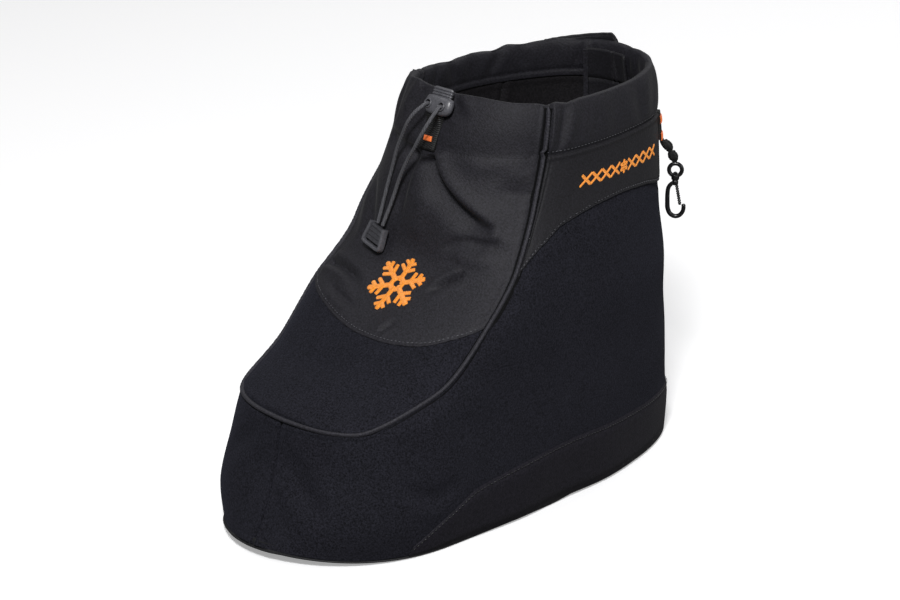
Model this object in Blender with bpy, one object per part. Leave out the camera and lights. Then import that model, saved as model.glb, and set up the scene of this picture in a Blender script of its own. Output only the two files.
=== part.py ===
# Winter overshoe, the left one of a pair: a padded textile shell over a thin rubberised sole,
# with a cord lock at the front of the collar and a snap hook at its back edge.
# Metres, +Z up. The toe points to -Y and the outer side of the foot to +X. The origin is on the
# floor, under the middle of the sole.

import math
from collections import namedtuple

import bpy
import numpy as np
from mathutils import Matrix, Vector

# Driving dimensions
LENGTH = 0.359
BALL_WIDTH = 0.1736
COLLAR_HEIGHT = 0.270
WALL = 0.003
GAP = 0.0003
SEAT = 0.0005

# The last, a row per section from the floor up. Heights are parts of COLLAR_HEIGHT, lengths from
# the middle are parts of LENGTH with the toe positive, half widths are parts of BALL_WIDTH, and
# squareness is the power of the front half's oval.
Section = namedtuple("Section", "height toe heel half_width widest squareness")
SECTIONS = (
    Section(0.000, 0.503, 0.499, 0.455, 0.217, 2.05),
    Section(0.104, 0.467, 0.496, 0.478, 0.182, 2.80),
    Section(0.215, 0.432, 0.490, 0.484, 0.148, 3.00),
    Section(0.304, 0.420, 0.483, 0.486, 0.108, 2.80),
    Section(0.389, 0.306, 0.475, 0.492, 0.082, 2.70),
    Section(0.500, 0.207, 0.467, 0.498, 0.063, 2.75),
    Section(0.630, 0.106, 0.457, 0.467, -0.005, 2.50),
    Section(0.759, 0.090, 0.448, 0.429, -0.075, 2.30),
    Section(0.889, 0.068, 0.440, 0.398, -0.114, 2.15),
    Section(1.000, 0.028, 0.432, 0.375, -0.120, 2.28),
)
HEEL_SQUARENESS = 2.5

# Where the raised seam runs, from the middle of the toe to the collar, the same on both sides
SeamPoint = namedtuple("SeamPoint", "angle height")
RAISED_SEAM = (
    SeamPoint(0.0, 0.307),
    SeamPoint(34.4, 0.312),
    SeamPoint(52.8, 0.392),
    SeamPoint(60.2, 0.582),
    SeamPoint(66.0, 0.775),
    SeamPoint(66.9, 0.925),
    SeamPoint(64.4, 1.000),
)
SEAM_END = 0.80
SEAM_WIDTH = 0.0042
SEAM_RISE = 0.0022

# Upper edge of the heel band
BandEdge = namedtuple("BandEdge", "angle height")
HEEL_BAND = (
    BandEdge(70.0, 0.030),
    BandEdge(80.0, 0.092),
    BandEdge(94.0, 0.141),
    BandEdge(111.0, 0.163),
    BandEdge(132.0, 0.148),
    BandEdge(180.0, 0.130),
)
HEEL_BAND_THICK = 0.0010

# Toe spring, side dip of the collar and the collar's casing
TOE_SPRING = 0.006
SPRING_START = 0.265
SPRING_RUN = 0.223
SPRING_TOP = 0.304
COLLAR_DIP = 0.0045
DIP_START = 0.667
CASING_SEAM = 0.880
CASING_STEP = 0.0010
CASING_RUN = 0.012
RIM_ROUND = 0.0012

# Sole
SOLE_THICK = 0.005
SOLE_EDGE = 0.0006
SOLE_CHAMFER = 0.0012
ARCH_RISE = 0.0015
ARCH_CENTRE = 0.042
ARCH_HALF = 0.030
GROOVE_WIDTH = 0.0036
GROOVE_DEPTH = 0.0014
GROOVE_WALL = 0.0004
FOREFOOT_GROOVES = (-0.146, 6, 0.020)
HEEL_GROOVES = (0.088, 4, 0.020)
FOOTBED_THICK = 0.004
FOOTBED_CLEAR = 0.0010

# Rear flap, the outer layer of the back closure
FLAP_ANGLES = (184.0, 224.0)
FLAP_BOTTOM = 0.352
FLAP_PEAK = 0.0062
FLAP_THICK = 0.0018
FLAP_ROWS = (0.0, 0.2, 0.4, 0.6, 0.75, 0.82, 0.85, 0.95, 1.0)
FLAP_CORNER = 0.05

# Cord lock, seated on the front of the collar
LOCK_X = 0.0052
LOCK_HEIGHT = 0.972
LOCK_LEAN = math.radians(26)
LOCK_WIDTH = 0.0236
LOCK_DEPTH = 0.0086
LOCK_TALL = 0.0118
LOCK_WALL = 0.0016
LOCK_FLOOR = 0.0022
BUTTON_CLEAR = 0.0003
BUTTON_TRAVEL = 0.003
BUTTON_RISE = 0.0064
BUTTON_RIBS = 3
RIB_DEPTH = 0.0009
RIB_START = 0.0012
RIB_PITCH = 0.0018
HOLE_SPACING = 0.0118
HOLE_RADIUS = 0.0018

# Drawcord: its two strands' routes from the lock to the clip
CORD_RADIUS = 0.00125
ROUTE_INNER = (
    (0.0000, -0.0250, 0.2646),
    (-0.0012, -0.0290, 0.2624),
    (-0.0040, -0.0325, 0.2585),
    (-0.0088, -0.0340, 0.2515),
    (-0.0146, -0.0332, 0.2420),
    (-0.0208, -0.0322, 0.2310),
    (-0.0254, -0.0318, 0.2185),
    (-0.0288, -0.0326, 0.2069),
    (-0.0306, -0.0350, 0.1949),
    (-0.0313, -0.0376, 0.1859),
    (-0.0316, -0.0394, 0.1802),
)
ROUTE_OUTER = (
    (0.0114, -0.0250, 0.2646),
    (0.0111, -0.0296, 0.2602),
    (0.0094, -0.0338, 0.2540),
    (0.0050, -0.0359, 0.2454),
    (-0.0013, -0.0356, 0.2359),
    (-0.0093, -0.0349, 0.2249),
    (-0.0156, -0.0346, 0.2135),
    (-0.0196, -0.0349, 0.2036),
    (-0.0225, -0.0365, 0.1939),
    (-0.0248, -0.0386, 0.1855),
    (-0.0262, -0.0402, 0.1799),
)
CLIP_TOP_WIDTH = 0.0170
CLIP_FOOT_WIDTH = 0.0215
CLIP_TALL = 0.0155
CLIP_THICK = 0.0048
CLIP_RAIL = 0.0024
CLIP_SLOT_RISE = 0.002
CLIP_ANGLE = 338.7
CLIP_HEIGHT = 0.636
CLIP_TURN = math.radians(10)
CLIP_STAND = 0.0030
CLIP_GROOVES = (0.0068, 0.0096, 0.0124)
CLIP_GROOVE_WIDE = 0.0096
CLIP_GROOVE_TALL = 0.0012
CLIP_GROOVE_DEPTH = 0.0016

# Webbing tab under the lock and the strip at the back edge, by angle and height on the wall
TAB_TOP = (-3.8, 7.6, 0.942)
TAB_FOOT = (-5.0, 6.5, 0.852)
TAB_THICK = 0.0018
TAB_FOLD = 0.0045
TAB_FOLD_START = 0.6
STRIP_ANGLES = (139.8, 146.2)
STRIP_HEIGHTS = (0.802, 0.874)
STRIP_MIDDLE = 143.0
STRIP_THICK = 0.0012

# Stitched bars: angle, height, width and tallness
TAB_TACK = (1.0, 0.8925, 0.0080, 0.0040)
UPPER_TACK = (STRIP_MIDDLE, 0.855, 0.0085, 0.0050)
LOWER_TACK = (STRIP_MIDDLE, 0.812, 0.0085, 0.0050)
TACK_THICK = 0.0010
TACK_ROUND = 0.0004

# Hook, its swivel and its cord. Reach is the distance out from the wall at the hook's height.
HOOK_ANGLE = 145.0
HOOK_WALL_HEIGHT = 0.610
HOOK_REACH = 0.0082
HOOK_TOP = 0.1884
EYE_CENTRE = 0.1956
EYE_RADIUS = 0.0044
EYE_ROD = 0.0012
BOSS_RADIUS = 0.0027
BOSS_BOTTOM = 0.1887
BOSS_TOP = 0.1926
BOSS_ROUND = 0.0005
PIN_RADIUS = 0.00075
PIN_CLEAR = 0.0003
HEAD_RADIUS = 0.0014
HEAD_TALL = 0.0012
SHOULDER_RADIUS = 0.0021
SHOULDER_TALL = 0.0032
SPINE_ROD = 0.0013
NOSE_ROD = 0.0009
GATE_RODS = (0.00095, 0.00075)
GATE_TOP = (0.0008, -0.0024)
GATE_FOOT = (0.0035, -0.0170)

# The knotted cord from the strip down to the eye: reach from the wall, height and radius
CordStop = namedtuple("CordStop", "reach z radius")
HOOK_CORD = (
    CordStop(-0.0016, 0.2161, 0.0009),
    CordStop(-0.0008, 0.2154, 0.0019),
    CordStop(0.0008, 0.2142, 0.0030),
    CordStop(0.0024, 0.2124, 0.0034),
    CordStop(0.0038, 0.2103, 0.0026),
    CordStop(0.0046, 0.2090, 0.0015),
    CordStop(0.0054, 0.2074, 0.0026),
    CordStop(0.0064, 0.2051, 0.0034),
    CordStop(0.0073, 0.2031, 0.0024),
    CordStop(0.0079, 0.2019, 0.0010),
)

# Middle of the hook's spine from its shoulder to its nose: reach from its axis, and level
HookPoint = namedtuple("HookPoint", "reach level")
HOOK_SPINE = (
    HookPoint(0.0002, -0.0014),
    HookPoint(-0.0024, -0.0026),
    HookPoint(-0.0043, -0.0052),
    HookPoint(-0.0049, -0.0090),
    HookPoint(-0.0049, -0.0150),
    HookPoint(-0.0046, -0.0196),
    HookPoint(-0.0030, -0.0234),
    HookPoint(0.0002, -0.0252),
    HookPoint(0.0034, -0.0244),
    HookPoint(0.0055, -0.0216),
    HookPoint(0.0060, -0.0186),
    HookPoint(0.0058, -0.0166),
)

# Where the shell's rings lie, as parts of COLLAR_HEIGHT: up its outer skin, then down its inner
OUTER_HEIGHTS = (
    0.05, 0.105, 0.16, 0.215, 0.27, 0.304, 0.343, 0.381, 0.42, 0.47, 0.523, 0.576, 0.629, 0.681,
    0.734, 0.787, 0.84, CASING_SEAM, CASING_SEAM + CASING_RUN, 0.94, 0.985,
)
INNER_HEIGHTS = (0.985, 0.92, 0.84, 0.72, 0.6, 0.5, 0.42, 0.36, 0.304, 0.15)

# Points around the shell, and stations along the other pieces
AROUND = 64
BAND_STATIONS = 45
SEAM_STATIONS = 81
SOLE_STATIONS = 33
FOOTBED_STATIONS = 25
FLAP_STATIONS = 15
TAB_STATIONS = 7
STRIP_STATIONS = 6
ACROSS = 5
ROUTE_STEPS = 13
EYE_STATIONS = 20
GATE_STATIONS = 17

# Steps in degrees and in height that slopes are read over, and the least foot width at an end
ANGLE_STEP = 0.5
HEIGHT_STEP = 0.004
TIP_HALF = 0.0016


def linear(channel):
    channel /= 255
    return channel / 12.92 if channel <= 0.04045 else ((channel + 0.055) / 1.055) ** 2.4


def make_material(name, colour, roughness, metallic=0.0):
    material = bpy.data.materials.new(name)
    material.use_nodes = True
    shader = material.node_tree.nodes["Principled BSDF"]
    rgb = [linear(int(colour[i:i + 2], 16)) for i in (0, 2, 4)]
    shader.inputs["Base Color"].default_value = (*rgb, 1)
    shader.inputs["Roughness"].default_value = roughness
    shader.inputs["Metallic"].default_value = metallic
    material.diffuse_color = (*rgb, 1)
    return material


def smooth_curve(places, values, where):
    """Monotone cubic through (places, values), read at where."""
    places = np.asarray(places, float)
    values = np.asarray(values, float)
    steps = np.diff(places)
    grades = np.diff(values) / steps
    before, after = grades[:-1], grades[1:]
    weight = (2 * steps[1:] + steps[:-1], steps[1:] + 2 * steps[:-1])
    same = before * after > 0
    safe = [np.where(same, s, 1.0) for s in (before, after)]
    inner = np.where(same, sum(weight) / (weight[0] / safe[0] + weight[1] / safe[1]), 0.0)
    tangents = np.concatenate([grades[:1], inner, grades[-1:]])
    where = np.clip(where, places[0], places[-1])
    row = np.clip(np.searchsorted(places, where) - 1, 0, len(steps) - 1)
    t = (where - places[row]) / steps[row]
    rise = (
        (1 + 2 * t) * (1 - t) ** 2 * values[row]
        + t * (1 - t) ** 2 * steps[row] * tangents[row]
        + t * t * (3 - 2 * t) * values[row + 1]
        + t * t * (t - 1) * steps[row] * tangents[row + 1]
    )
    return rise


def smooth_route(points, spacing):
    """Points every spacing or so along the smooth curve through the route's own points."""
    points = np.asarray(points, float)
    ends = np.concatenate([2 * points[:1] - points[1:2], points, 2 * points[-1:] - points[-2:-1]])
    pieces = []
    for a, b, c, d in zip(ends, ends[1:], ends[2:], ends[3:]):
        t = np.linspace(0, 1, ROUTE_STEPS)[:, None]
        pieces.append(
            0.5 * (2 * b + (c - a) * t + (2 * a - 5 * b + 4 * c - d) * t ** 2
                   + (3 * b - a - 3 * c + d) * t ** 3)
        )
    dense = np.concatenate([pieces[0]] + [piece[1:] for piece in pieces[1:]])
    run = np.concatenate([[0], np.cumsum(np.linalg.norm(np.diff(dense, axis=0), axis=1))])
    count = max(2, round(run[-1] / spacing) + 1)
    stops = np.linspace(0, run[-1], count)
    return np.stack([np.interp(stops, run, dense[:, k]) for k in range(3)], axis=1)


def column(name):
    return [getattr(row, name) for row in SECTIONS]


def sized(name, size, height):
    """One column of the section table at these heights (parts of COLLAR_HEIGHT), in metres."""
    return size * smooth_curve(column("height"), column(name), height)


def lift(y, height):
    """How far the toe spring raises a point."""
    run = np.clip((-SPRING_START * LENGTH - y) / (SPRING_RUN * LENGTH), 0, 1)
    return TOE_SPRING * run ** 2 * np.clip(1 - height / SPRING_TOP, 0, 1)


def oval(angle, height):
    """The outer surface before the casing's step. Angle 0 is the toe, 90 the outer side."""
    angle, height = np.broadcast_arrays(np.radians(angle), np.asarray(height, float))
    toe, heel = -sized("toe", LENGTH, height), sized("heel", LENGTH, height)
    widest = -sized("widest", LENGTH, height)
    across, along = np.sin(angle), np.cos(angle)
    power = np.where(along > 0, sized("squareness", 1, height), HEEL_SQUARENESS)
    reach = (np.abs(across) ** power + np.abs(along) ** power) ** (1 / power)
    x = sized("half_width", BALL_WIDTH, height) * across / reach
    y = widest - np.where(along > 0, widest - toe, heel - widest) * along / reach
    dip = COLLAR_DIP * np.clip((height - DIP_START) / (1 - DIP_START), 0, 1) ** 2 * across ** 2
    z = height * COLLAR_HEIGHT - dip + lift(y, height)
    return np.stack([x, y, z], axis=-1)


def slopes(angle, height):
    """Unit vector outward in the section's plane, and the slope factor of the wall there."""
    turn = oval(angle + ANGLE_STEP, height) - oval(angle - ANGLE_STEP, height)
    above = oval(angle, np.minimum(height + HEIGHT_STEP, 1))
    rise = above - oval(angle, np.maximum(height - HEIGHT_STEP, 0))
    flat = np.stack([turn[..., 1], -turn[..., 0], np.zeros_like(turn[..., 0])], axis=-1)
    flat /= np.linalg.norm(flat, axis=-1, keepdims=True)
    square = np.cross(turn, rise)
    square /= np.linalg.norm(square, axis=-1, keepdims=True)
    return flat, np.maximum(np.sum(flat * square, axis=-1), 0.5)


def casing_step(height):
    """The casing is a doubled layer, so the wall steps out above its seam."""
    ramp = np.clip((height - CASING_SEAM) / CASING_RUN, 0, 1)
    return CASING_STEP * ramp * ramp * (3 - 2 * ramp)


def wall(angle, height, out=0.0):
    """A point out metres off the outer surface, square to it, at the same height."""
    angle, height = np.broadcast_arrays(np.asarray(angle, float), np.asarray(height, float))
    flat, factor = slopes(angle, height)
    shift = casing_step(height) + out / factor
    return oval(angle, height) + flat * shift[..., None]


def wall_frame(angle, height, out=0.0):
    """A matrix on the wall: X along it towards the outer side, -Y outward, Z up along it."""
    place = Vector(wall(angle, height, out))
    along = Vector(wall(angle + ANGLE_STEP, height, out) - wall(angle - ANGLE_STEP, height, out))
    along.normalize()
    up = Vector(wall(angle, height + HEIGHT_STEP, out) - wall(angle, height - HEIGHT_STEP, out))
    up = (up - up.dot(along) * along).normalized()
    back = up.cross(along)
    frame = Matrix((along, back, up)).transposed().to_4x4()
    frame.translation = place
    return frame


def add_part(name, vertices, faces, material, parent=None, matrix=None, smooth=40):
    mesh = bpy.data.meshes.new(name)
    mesh.from_pydata([tuple(v) for v in vertices], [], faces)
    mesh.materials.append(material)
    mesh.validate()
    made = bpy.data.objects.new(name, mesh)
    bpy.context.scene.collection.objects.link(made)
    made.parent = parent
    if matrix is not None:
        made.matrix_local = matrix
    mesh.shade_smooth()
    mesh.set_sharp_from_angle(angle=math.radians(smooth))
    return made


def add_empty(name, parent=None, matrix=None):
    empty = bpy.data.objects.new(name, None)
    bpy.context.scene.collection.objects.link(empty)
    empty.parent = parent
    if matrix is not None:
        empty.matrix_local = matrix
    return empty


def loft(rings, closed=False):
    """Vertices and faces of a skin over rings of equal length, capped unless it closes on itself."""
    rings = np.asarray(rings, float)
    count, loop = rings.shape[:2]
    last = count if closed else count - 1
    faces = []
    for i in range(last):
        a, b = i * loop, (i + 1) % count * loop
        for j in range(loop):
            k = (j + 1) % loop
            faces.append((a + j, a + k, b + k, b + j))
    if not closed:
        for base, order in ((0, 1), ((count - 1) * loop, -1)):
            for j in range(loop // 2 - 1):
                rung = (base + j, base + loop - 1 - j, base + loop - 2 - j, base + j + 1)
                faces.append(rung[::order])
    vertices = rings.reshape(-1, 3)
    volume = 0.0
    for face in faces:
        a = vertices[face[0]]
        for b, c in zip(face[1:], face[2:]):
            volume += np.dot(a, np.cross(vertices[b], vertices[c]))
    return vertices, [face[::-1] for face in faces] if volume < 0 else faces


def swept(points, radii, sideways, sides=8):
    """Rings of a round rod along points. sideways is a direction square to its plane."""
    points = np.asarray(points, float)
    ahead = np.gradient(points, axis=0)
    ahead /= np.linalg.norm(ahead, axis=1)[:, None]
    side = np.cross(np.broadcast_to(sideways, ahead.shape), ahead)
    side /= np.linalg.norm(side, axis=1)[:, None]
    other = np.cross(ahead, side)
    turn = np.radians(360 / sides) * (np.arange(sides) + 0.5)
    radii = np.broadcast_to(radii, len(points))[:, None, None]
    ring = side[:, None] * np.cos(turn)[:, None] + other[:, None] * np.sin(turn)[:, None]
    return points[:, None] + radii * ring


def turned(levels, sides=16):
    """Rings of a turned piece from rows of (z, radius)."""
    turn = np.radians(360 / sides) * np.arange(sides)
    return [[(r * math.cos(a), r * math.sin(a), z) for a in turn] for z, r in levels]


def slab(width, depth, levels, sides=16):
    """Rings of a piece with a rounded outline, from rows of (z, inset)."""
    turn = np.radians(360 / sides) * (np.arange(sides) + 0.5)
    rings = []
    for z, inset in levels:
        half, deep = width / 2 - inset, depth / 2 - inset
        ring = []
        for a in turn:
            c, s = math.cos(a), math.sin(a)
            x = half * math.copysign(abs(c) ** 0.55, c)
            y = deep * math.copysign(abs(s) ** 0.75, s)
            ring.append((x, y, z))
        rings.append(ring)
    return rings


def cutter(name, rings, parent=None, matrix=None):
    made = add_part(name, *loft(rings), helper_material, parent, matrix)
    made.hide_render = True
    made.display_type = "WIRE"
    return made


def combine(target, other, operation):
    modifier = target.modifiers.new(other.name, "BOOLEAN")
    modifier.operation = operation
    modifier.solver = "EXACT"
    modifier.object = other


def make_upper():
    """One hollow shell: outer skin up, over the rim, inner skin down, open at both ends."""
    angles = np.arange(AROUND) * 360 / AROUND
    foot = (SOLE_THICK + GAP) / COLLAR_HEIGHT
    rings = [wall(angles, height) for height in (foot, *OUTER_HEIGHTS)]
    rings.append(wall(angles, 1.0, -RIM_ROUND))
    rings.append(wall(angles, 1.0, RIM_ROUND - WALL - CASING_STEP))
    rings += [wall(angles, height, -WALL - casing_step(height)) for height in (*INNER_HEIGHTS, foot)]
    add_part("upper", *loft(rings, closed=True), fleece, root)


def foot_outline(height, out):
    """Half an outline of the foot, from toe to heel, out metres off the wall at this height."""
    return wall(np.linspace(0, 180, 361), height, out)


def across_foot(outline, y, top_at, bottom_at, chamfer):
    """A closed loop across the foot at y, from its left edge over the top and back underneath."""
    half = max(np.interp(y, outline[:, 1], outline[:, 0]), TIP_HALF)
    low = max(half - chamfer, TIP_HALF / 2)
    side = np.linspace(-1, 1, ACROSS)
    top = [(half * s, y, top_at) for s in side]
    under = [(low * s, y, bottom_at) for s in side[::-1]]
    skirt = bottom_at + chamfer
    return [(-half, y, skirt)] + top + [(half, y, skirt)] + under


def groove_edges():
    edges = []
    for start, count, pitch in (FOREFOOT_GROOVES, HEEL_GROOVES):
        for i in range(count):
            middle = start + i * pitch
            edges.append((middle - GROOVE_WIDTH / 2, middle + GROOVE_WIDTH / 2))
    return edges


def make_sole():
    """The bottom sheet: toe spring, arch, cross grooves between flat lugs, chamfered edge."""
    outline = foot_outline(0.0, SOLE_EDGE)
    toe, heel = outline[0, 1], outline[-1, 1]
    run = np.radians(np.linspace(0, 180, SOLE_STATIONS))
    stations = [(y, 0.0) for y in (toe + heel) / 2 - (heel - toe - GAP) / 2 * np.cos(run)]
    for start, end in groove_edges():
        stations = [s for s in stations if not start - SOLE_CHAMFER < s[0] < end + SOLE_CHAMFER]
        stations += [(start, 0.0), (start + GROOVE_WALL, GROOVE_DEPTH)]
        stations += [(end - GROOVE_WALL, GROOVE_DEPTH), (end, 0.0)]
    rings = []
    for y, depth in sorted(stations):
        middle = 0.5 + 0.5 * math.cos(math.pi * min(abs(y - ARCH_CENTRE) / ARCH_HALF, 1))
        bottom = float(lift(y, 0.0)) + ARCH_RISE * middle + depth
        top = SOLE_THICK + float(lift(y, SOLE_THICK / COLLAR_HEIGHT))
        rings.append(across_foot(outline, y, top, bottom, SOLE_CHAMFER))
    add_part("outsole", *loft(rings), rubber, root, smooth=25)


def make_insole():
    """The footbed, lying on the sole inside the wall."""
    outline = foot_outline(2 * FOOTBED_THICK / COLLAR_HEIGHT, -WALL - FOOTBED_CLEAR)
    toe, heel = outline[0, 1], outline[-1, 1]
    run = np.radians(np.linspace(0, 180, FOOTBED_STATIONS))
    rings = []
    for y in (toe + heel) / 2 - (heel - toe - GAP) / 2 * np.cos(run):
        bottom = SOLE_THICK + GAP + float(lift(y, SOLE_THICK / COLLAR_HEIGHT))
        rings.append(across_foot(outline, y, bottom + FOOTBED_THICK, bottom, SOLE_CHAMFER))
    add_part("insole", *loft(rings), lining, root)


def make_piping():
    """The raised seam, a half-round cord from the inner side round the toe to the outer side."""
    share = np.linspace(-SEAM_END, SEAM_END, SEAM_STATIONS)
    rows = np.linspace(0, 1, len(RAISED_SEAM))
    angle = np.sign(share) * smooth_curve(rows, [p.angle for p in RAISED_SEAM], np.abs(share))
    height = smooth_curve(rows, [p.height for p in RAISED_SEAM], np.abs(share))
    base = wall(angle, height, SEAT)
    up = np.cross(
        wall(angle + ANGLE_STEP, height) - wall(angle - ANGLE_STEP, height),
        wall(angle, height + HEIGHT_STEP) - wall(angle, height - HEIGHT_STEP),
    )
    up /= np.linalg.norm(up, axis=1)[:, None]
    side = np.cross(np.gradient(base, axis=0), up)
    side /= np.linalg.norm(side, axis=1)[:, None]
    half = SEAM_WIDTH / 2
    outline = [(-half, 0), (-0.8 * half, 0.6 * SEAM_RISE), (-0.3 * half, SEAM_RISE)]
    outline += [(-x, rise) for x, rise in outline[::-1]]
    rings = [base + x * side + rise * up for x, rise in outline]
    add_part("piping", *loft(np.stack(rings, axis=1)), woven, root)


def patch(angles, foot, head, gap, thick, rows):
    """Rings of a panel on the wall: a loop up its inner face and down its outer face."""
    rings = []
    for angle, low, high in zip(angles, foot, head):
        height = np.linspace(low, high, rows)
        inner = wall(angle, height, gap)
        outer = wall(angle, height, gap + thick)
        rings.append(np.concatenate([inner, outer[::-1]]))
    return rings


def make_heel_band():
    reach = HEEL_BAND[0].angle
    angles = np.linspace(reach, 360 - reach, BAND_STATIONS)
    folded = 180 - np.abs(angles - 180)
    head = smooth_curve([e.angle for e in HEEL_BAND], [e.height for e in HEEL_BAND], folded)
    foot = np.full(BAND_STATIONS, (SOLE_THICK + 2 * GAP) / COLLAR_HEIGHT)
    add_part("heel_band", *loft(patch(angles, foot, head, SEAT, HEEL_BAND_THICK, 4)), woven, root)


def make_rear_flap():
    """The closure's outer layer. Its upper corner stands above the collar at the back."""
    start, end = FLAP_ANGLES
    share = np.linspace(0, 1, FLAP_STATIONS)
    angles = start + share * (end - start)
    corner = np.minimum(share / FLAP_CORNER, 1) ** 0.5
    peak = FLAP_PEAK * (1 - share) * (0.6 + 0.4 * corner)
    height = FLAP_BOTTOM + np.array(FLAP_ROWS) * (1 - FLAP_BOTTOM)
    rings = []
    for angle, extra in zip(angles, peak):
        inner = wall(angle, height, SEAT)
        outer = wall(angle, height, SEAT + FLAP_THICK)
        for skin in (inner, outer):
            skin[-1, 2] += extra
            skin[-2, 2] += extra / 2
        rings.append(np.concatenate([inner, outer[::-1]]))
    add_part("rear_flap", *loft(rings), woven, root)


def make_lock():
    """The lock's body, an open-topped cup with two cord holes, and the button in it."""
    lock_angle = math.degrees(LOCK_X / (BALL_WIDTH * SECTIONS[-1].half_width))
    seat = wall_frame(lock_angle, LOCK_HEIGHT, SEAT + LOCK_DEPTH / 2).translation
    drop = Matrix.Translation((0, 0, -LOCK_TALL / 2))
    place = Matrix.Translation(seat) @ Matrix.Rotation(-LOCK_LEAN, 4, "X") @ drop
    empty = add_empty("lock_seat", root, place)

    cup = [(0, 0.0014), (0.0008, 0.0005), (0.003, 0), (LOCK_TALL - 0.0008, 0), (LOCK_TALL, 0.0005)]
    cup += [(LOCK_TALL, LOCK_WALL), (LOCK_FLOOR, LOCK_WALL)]
    rings = slab(LOCK_WIDTH, LOCK_DEPTH, cup)
    body = add_part("cord_lock_body", *loft(rings), grey_plastic, empty)

    low = LOCK_FLOOR + BUTTON_TRAVEL + BUTTON_CLEAR
    high = LOCK_TALL + BUTTON_RISE
    shank = LOCK_TALL + RIB_START / 3
    levels = [(low, RIB_DEPTH), (low + RIB_DEPTH, 0), (shank, 0), (shank + 0.0003, RIB_DEPTH)]
    for i in range(BUTTON_RIBS):
        step = LOCK_TALL + RIB_START + RIB_PITCH * i
        levels += [(step, 0), (step + 0.5 * RIB_PITCH, 0), (step + 0.6 * RIB_PITCH, RIB_DEPTH)]
    levels += [(high - 0.0004, RIB_DEPTH), (high, RIB_DEPTH + 0.0006)]
    inner = 2 * (LOCK_WALL + BUTTON_CLEAR)
    rings = slab(LOCK_WIDTH - inner, LOCK_DEPTH - inner, levels)
    button = add_part("cord_lock_button", *loft(rings), grey_plastic, empty)
    for side in (-1, 1):
        across = Matrix.Rotation(math.radians(90), 4, "X")
        for piece, tall in ((body, LOCK_TALL / 2), (button, LOCK_TALL / 2 + BUTTON_TRAVEL)):
            place = Matrix.Translation((side * HOLE_SPACING / 2, 0, tall)) @ across
            rings = turned([(-LOCK_DEPTH, HOLE_RADIUS), (LOCK_DEPTH, HOLE_RADIUS)])
            hole = cutter(f"{piece.name}_hole_{side}", rings, empty, place)
            combine(piece, hole, "DIFFERENCE")


def make_tab():
    """The webbing that holds the lock: sewn down at its foot, folded thicker under the lock."""
    rings = []
    for s in np.linspace(0, 1, TAB_STATIONS):
        left, right, height = (a + (b - a) * s for a, b in zip(TAB_FOOT, TAB_TOP))
        angles = np.linspace(left, right, ACROSS)
        fold = max(0, (s - TAB_FOLD_START) / (1 - TAB_FOLD_START)) ** 2
        thick = TAB_THICK + TAB_FOLD * fold
        inner = wall(angles, height, SEAT)
        outer = wall(angles, height, SEAT + thick)
        rings.append(np.concatenate([inner, outer[::-1]]))
    add_part("anchor_tab", *loft(rings), webbing, root)
    add_tack("anchor_bar_tack", *TAB_TACK, SEAT + TAB_THICK)


def add_tack(name, angle, height, width, tall, out):
    """A stitched bar: a small rounded pad standing off what it is sewn to."""
    top = GAP + TACK_THICK
    levels = [(GAP, TACK_ROUND), (GAP + TACK_ROUND, 0)]
    levels += [(top - TACK_ROUND, TACK_ROUND / 2), (top, 2 * TACK_ROUND)]
    place = wall_frame(angle, height, out) @ Matrix.Rotation(math.radians(90), 4, "X")
    add_part(name, *loft(slab(width, tall, levels)), orange_thread, root, place)


def make_strand(name, route):
    curve = bpy.data.curves.new(name, "CURVE")
    curve.dimensions = "3D"
    curve.bevel_depth = CORD_RADIUS
    curve.bevel_resolution = 2
    curve.use_fill_caps = True
    points = smooth_route(route, 5 * CORD_RADIUS)
    spline = curve.splines.new("POLY")
    spline.points.add(len(points) - 1)
    for point, place in zip(spline.points, points):
        point.co = (*place, 1)
    curve.materials.append(cord_grey)
    made = bpy.data.objects.new(name, curve)
    bpy.context.scene.collection.objects.link(made)
    made.parent = root


def wedge(top, foot, low, high, thick, shift=0.0):
    """Rings of a flat prism, wider at its foot, standing in its own XZ plane."""
    rings = []
    for z in (low, high):
        half = (foot + (top - foot) * (z / CLIP_TALL + 0.5)) / 2
        front, back = shift - thick / 2, shift + thick / 2
        rings.append([(-half, front, z), (half, front, z), (half, back, z), (-half, back, z)])
    return rings


def make_clip():
    """The cord end: a frame open at its top, and the ribbed insert that grips the cords."""
    place = wall_frame(CLIP_ANGLE, CLIP_HEIGHT, SEAT + CLIP_THICK / 2 + CLIP_STAND)
    place = place @ Matrix.Rotation(CLIP_TURN, 4, "Y")
    low, high = -CLIP_TALL / 2, CLIP_TALL / 2
    outline = wedge(CLIP_TOP_WIDTH, CLIP_FOOT_WIDTH, low, high, CLIP_THICK)
    frame = add_part("cord_end_clip", *loft(outline), grey_plastic, root, place, 30)
    rails = 2 * CLIP_RAIL
    top, foot = CLIP_TOP_WIDTH - rails, CLIP_FOOT_WIDTH - rails
    slot = wedge(top, foot, low + CLIP_RAIL, high + CLIP_SLOT_RISE, 2 * CLIP_THICK)
    combine(frame, cutter("clip_slot", slot, root, place), "DIFFERENCE")
    inset = 0.001
    plug = wedge(top + inset, top - inset, low + rails, high - inset, CLIP_THICK - inset)
    combine(frame, cutter("clip_plug", plug, root, place), "UNION")
    for i, rise in enumerate(CLIP_GROOVES):
        level = low + rise
        front = (CLIP_GROOVE_DEPTH - CLIP_THICK) / 2 - 0.0002
        groove = wedge(
            CLIP_GROOVE_WIDE, CLIP_GROOVE_WIDE, level, level + CLIP_GROOVE_TALL, 2 * CLIP_GROOVE_DEPTH,
            front - CLIP_GROOVE_DEPTH / 2,
        )
        combine(frame, cutter(f"clip_groove_{i}", groove, root, place), "DIFFERENCE")


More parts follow.
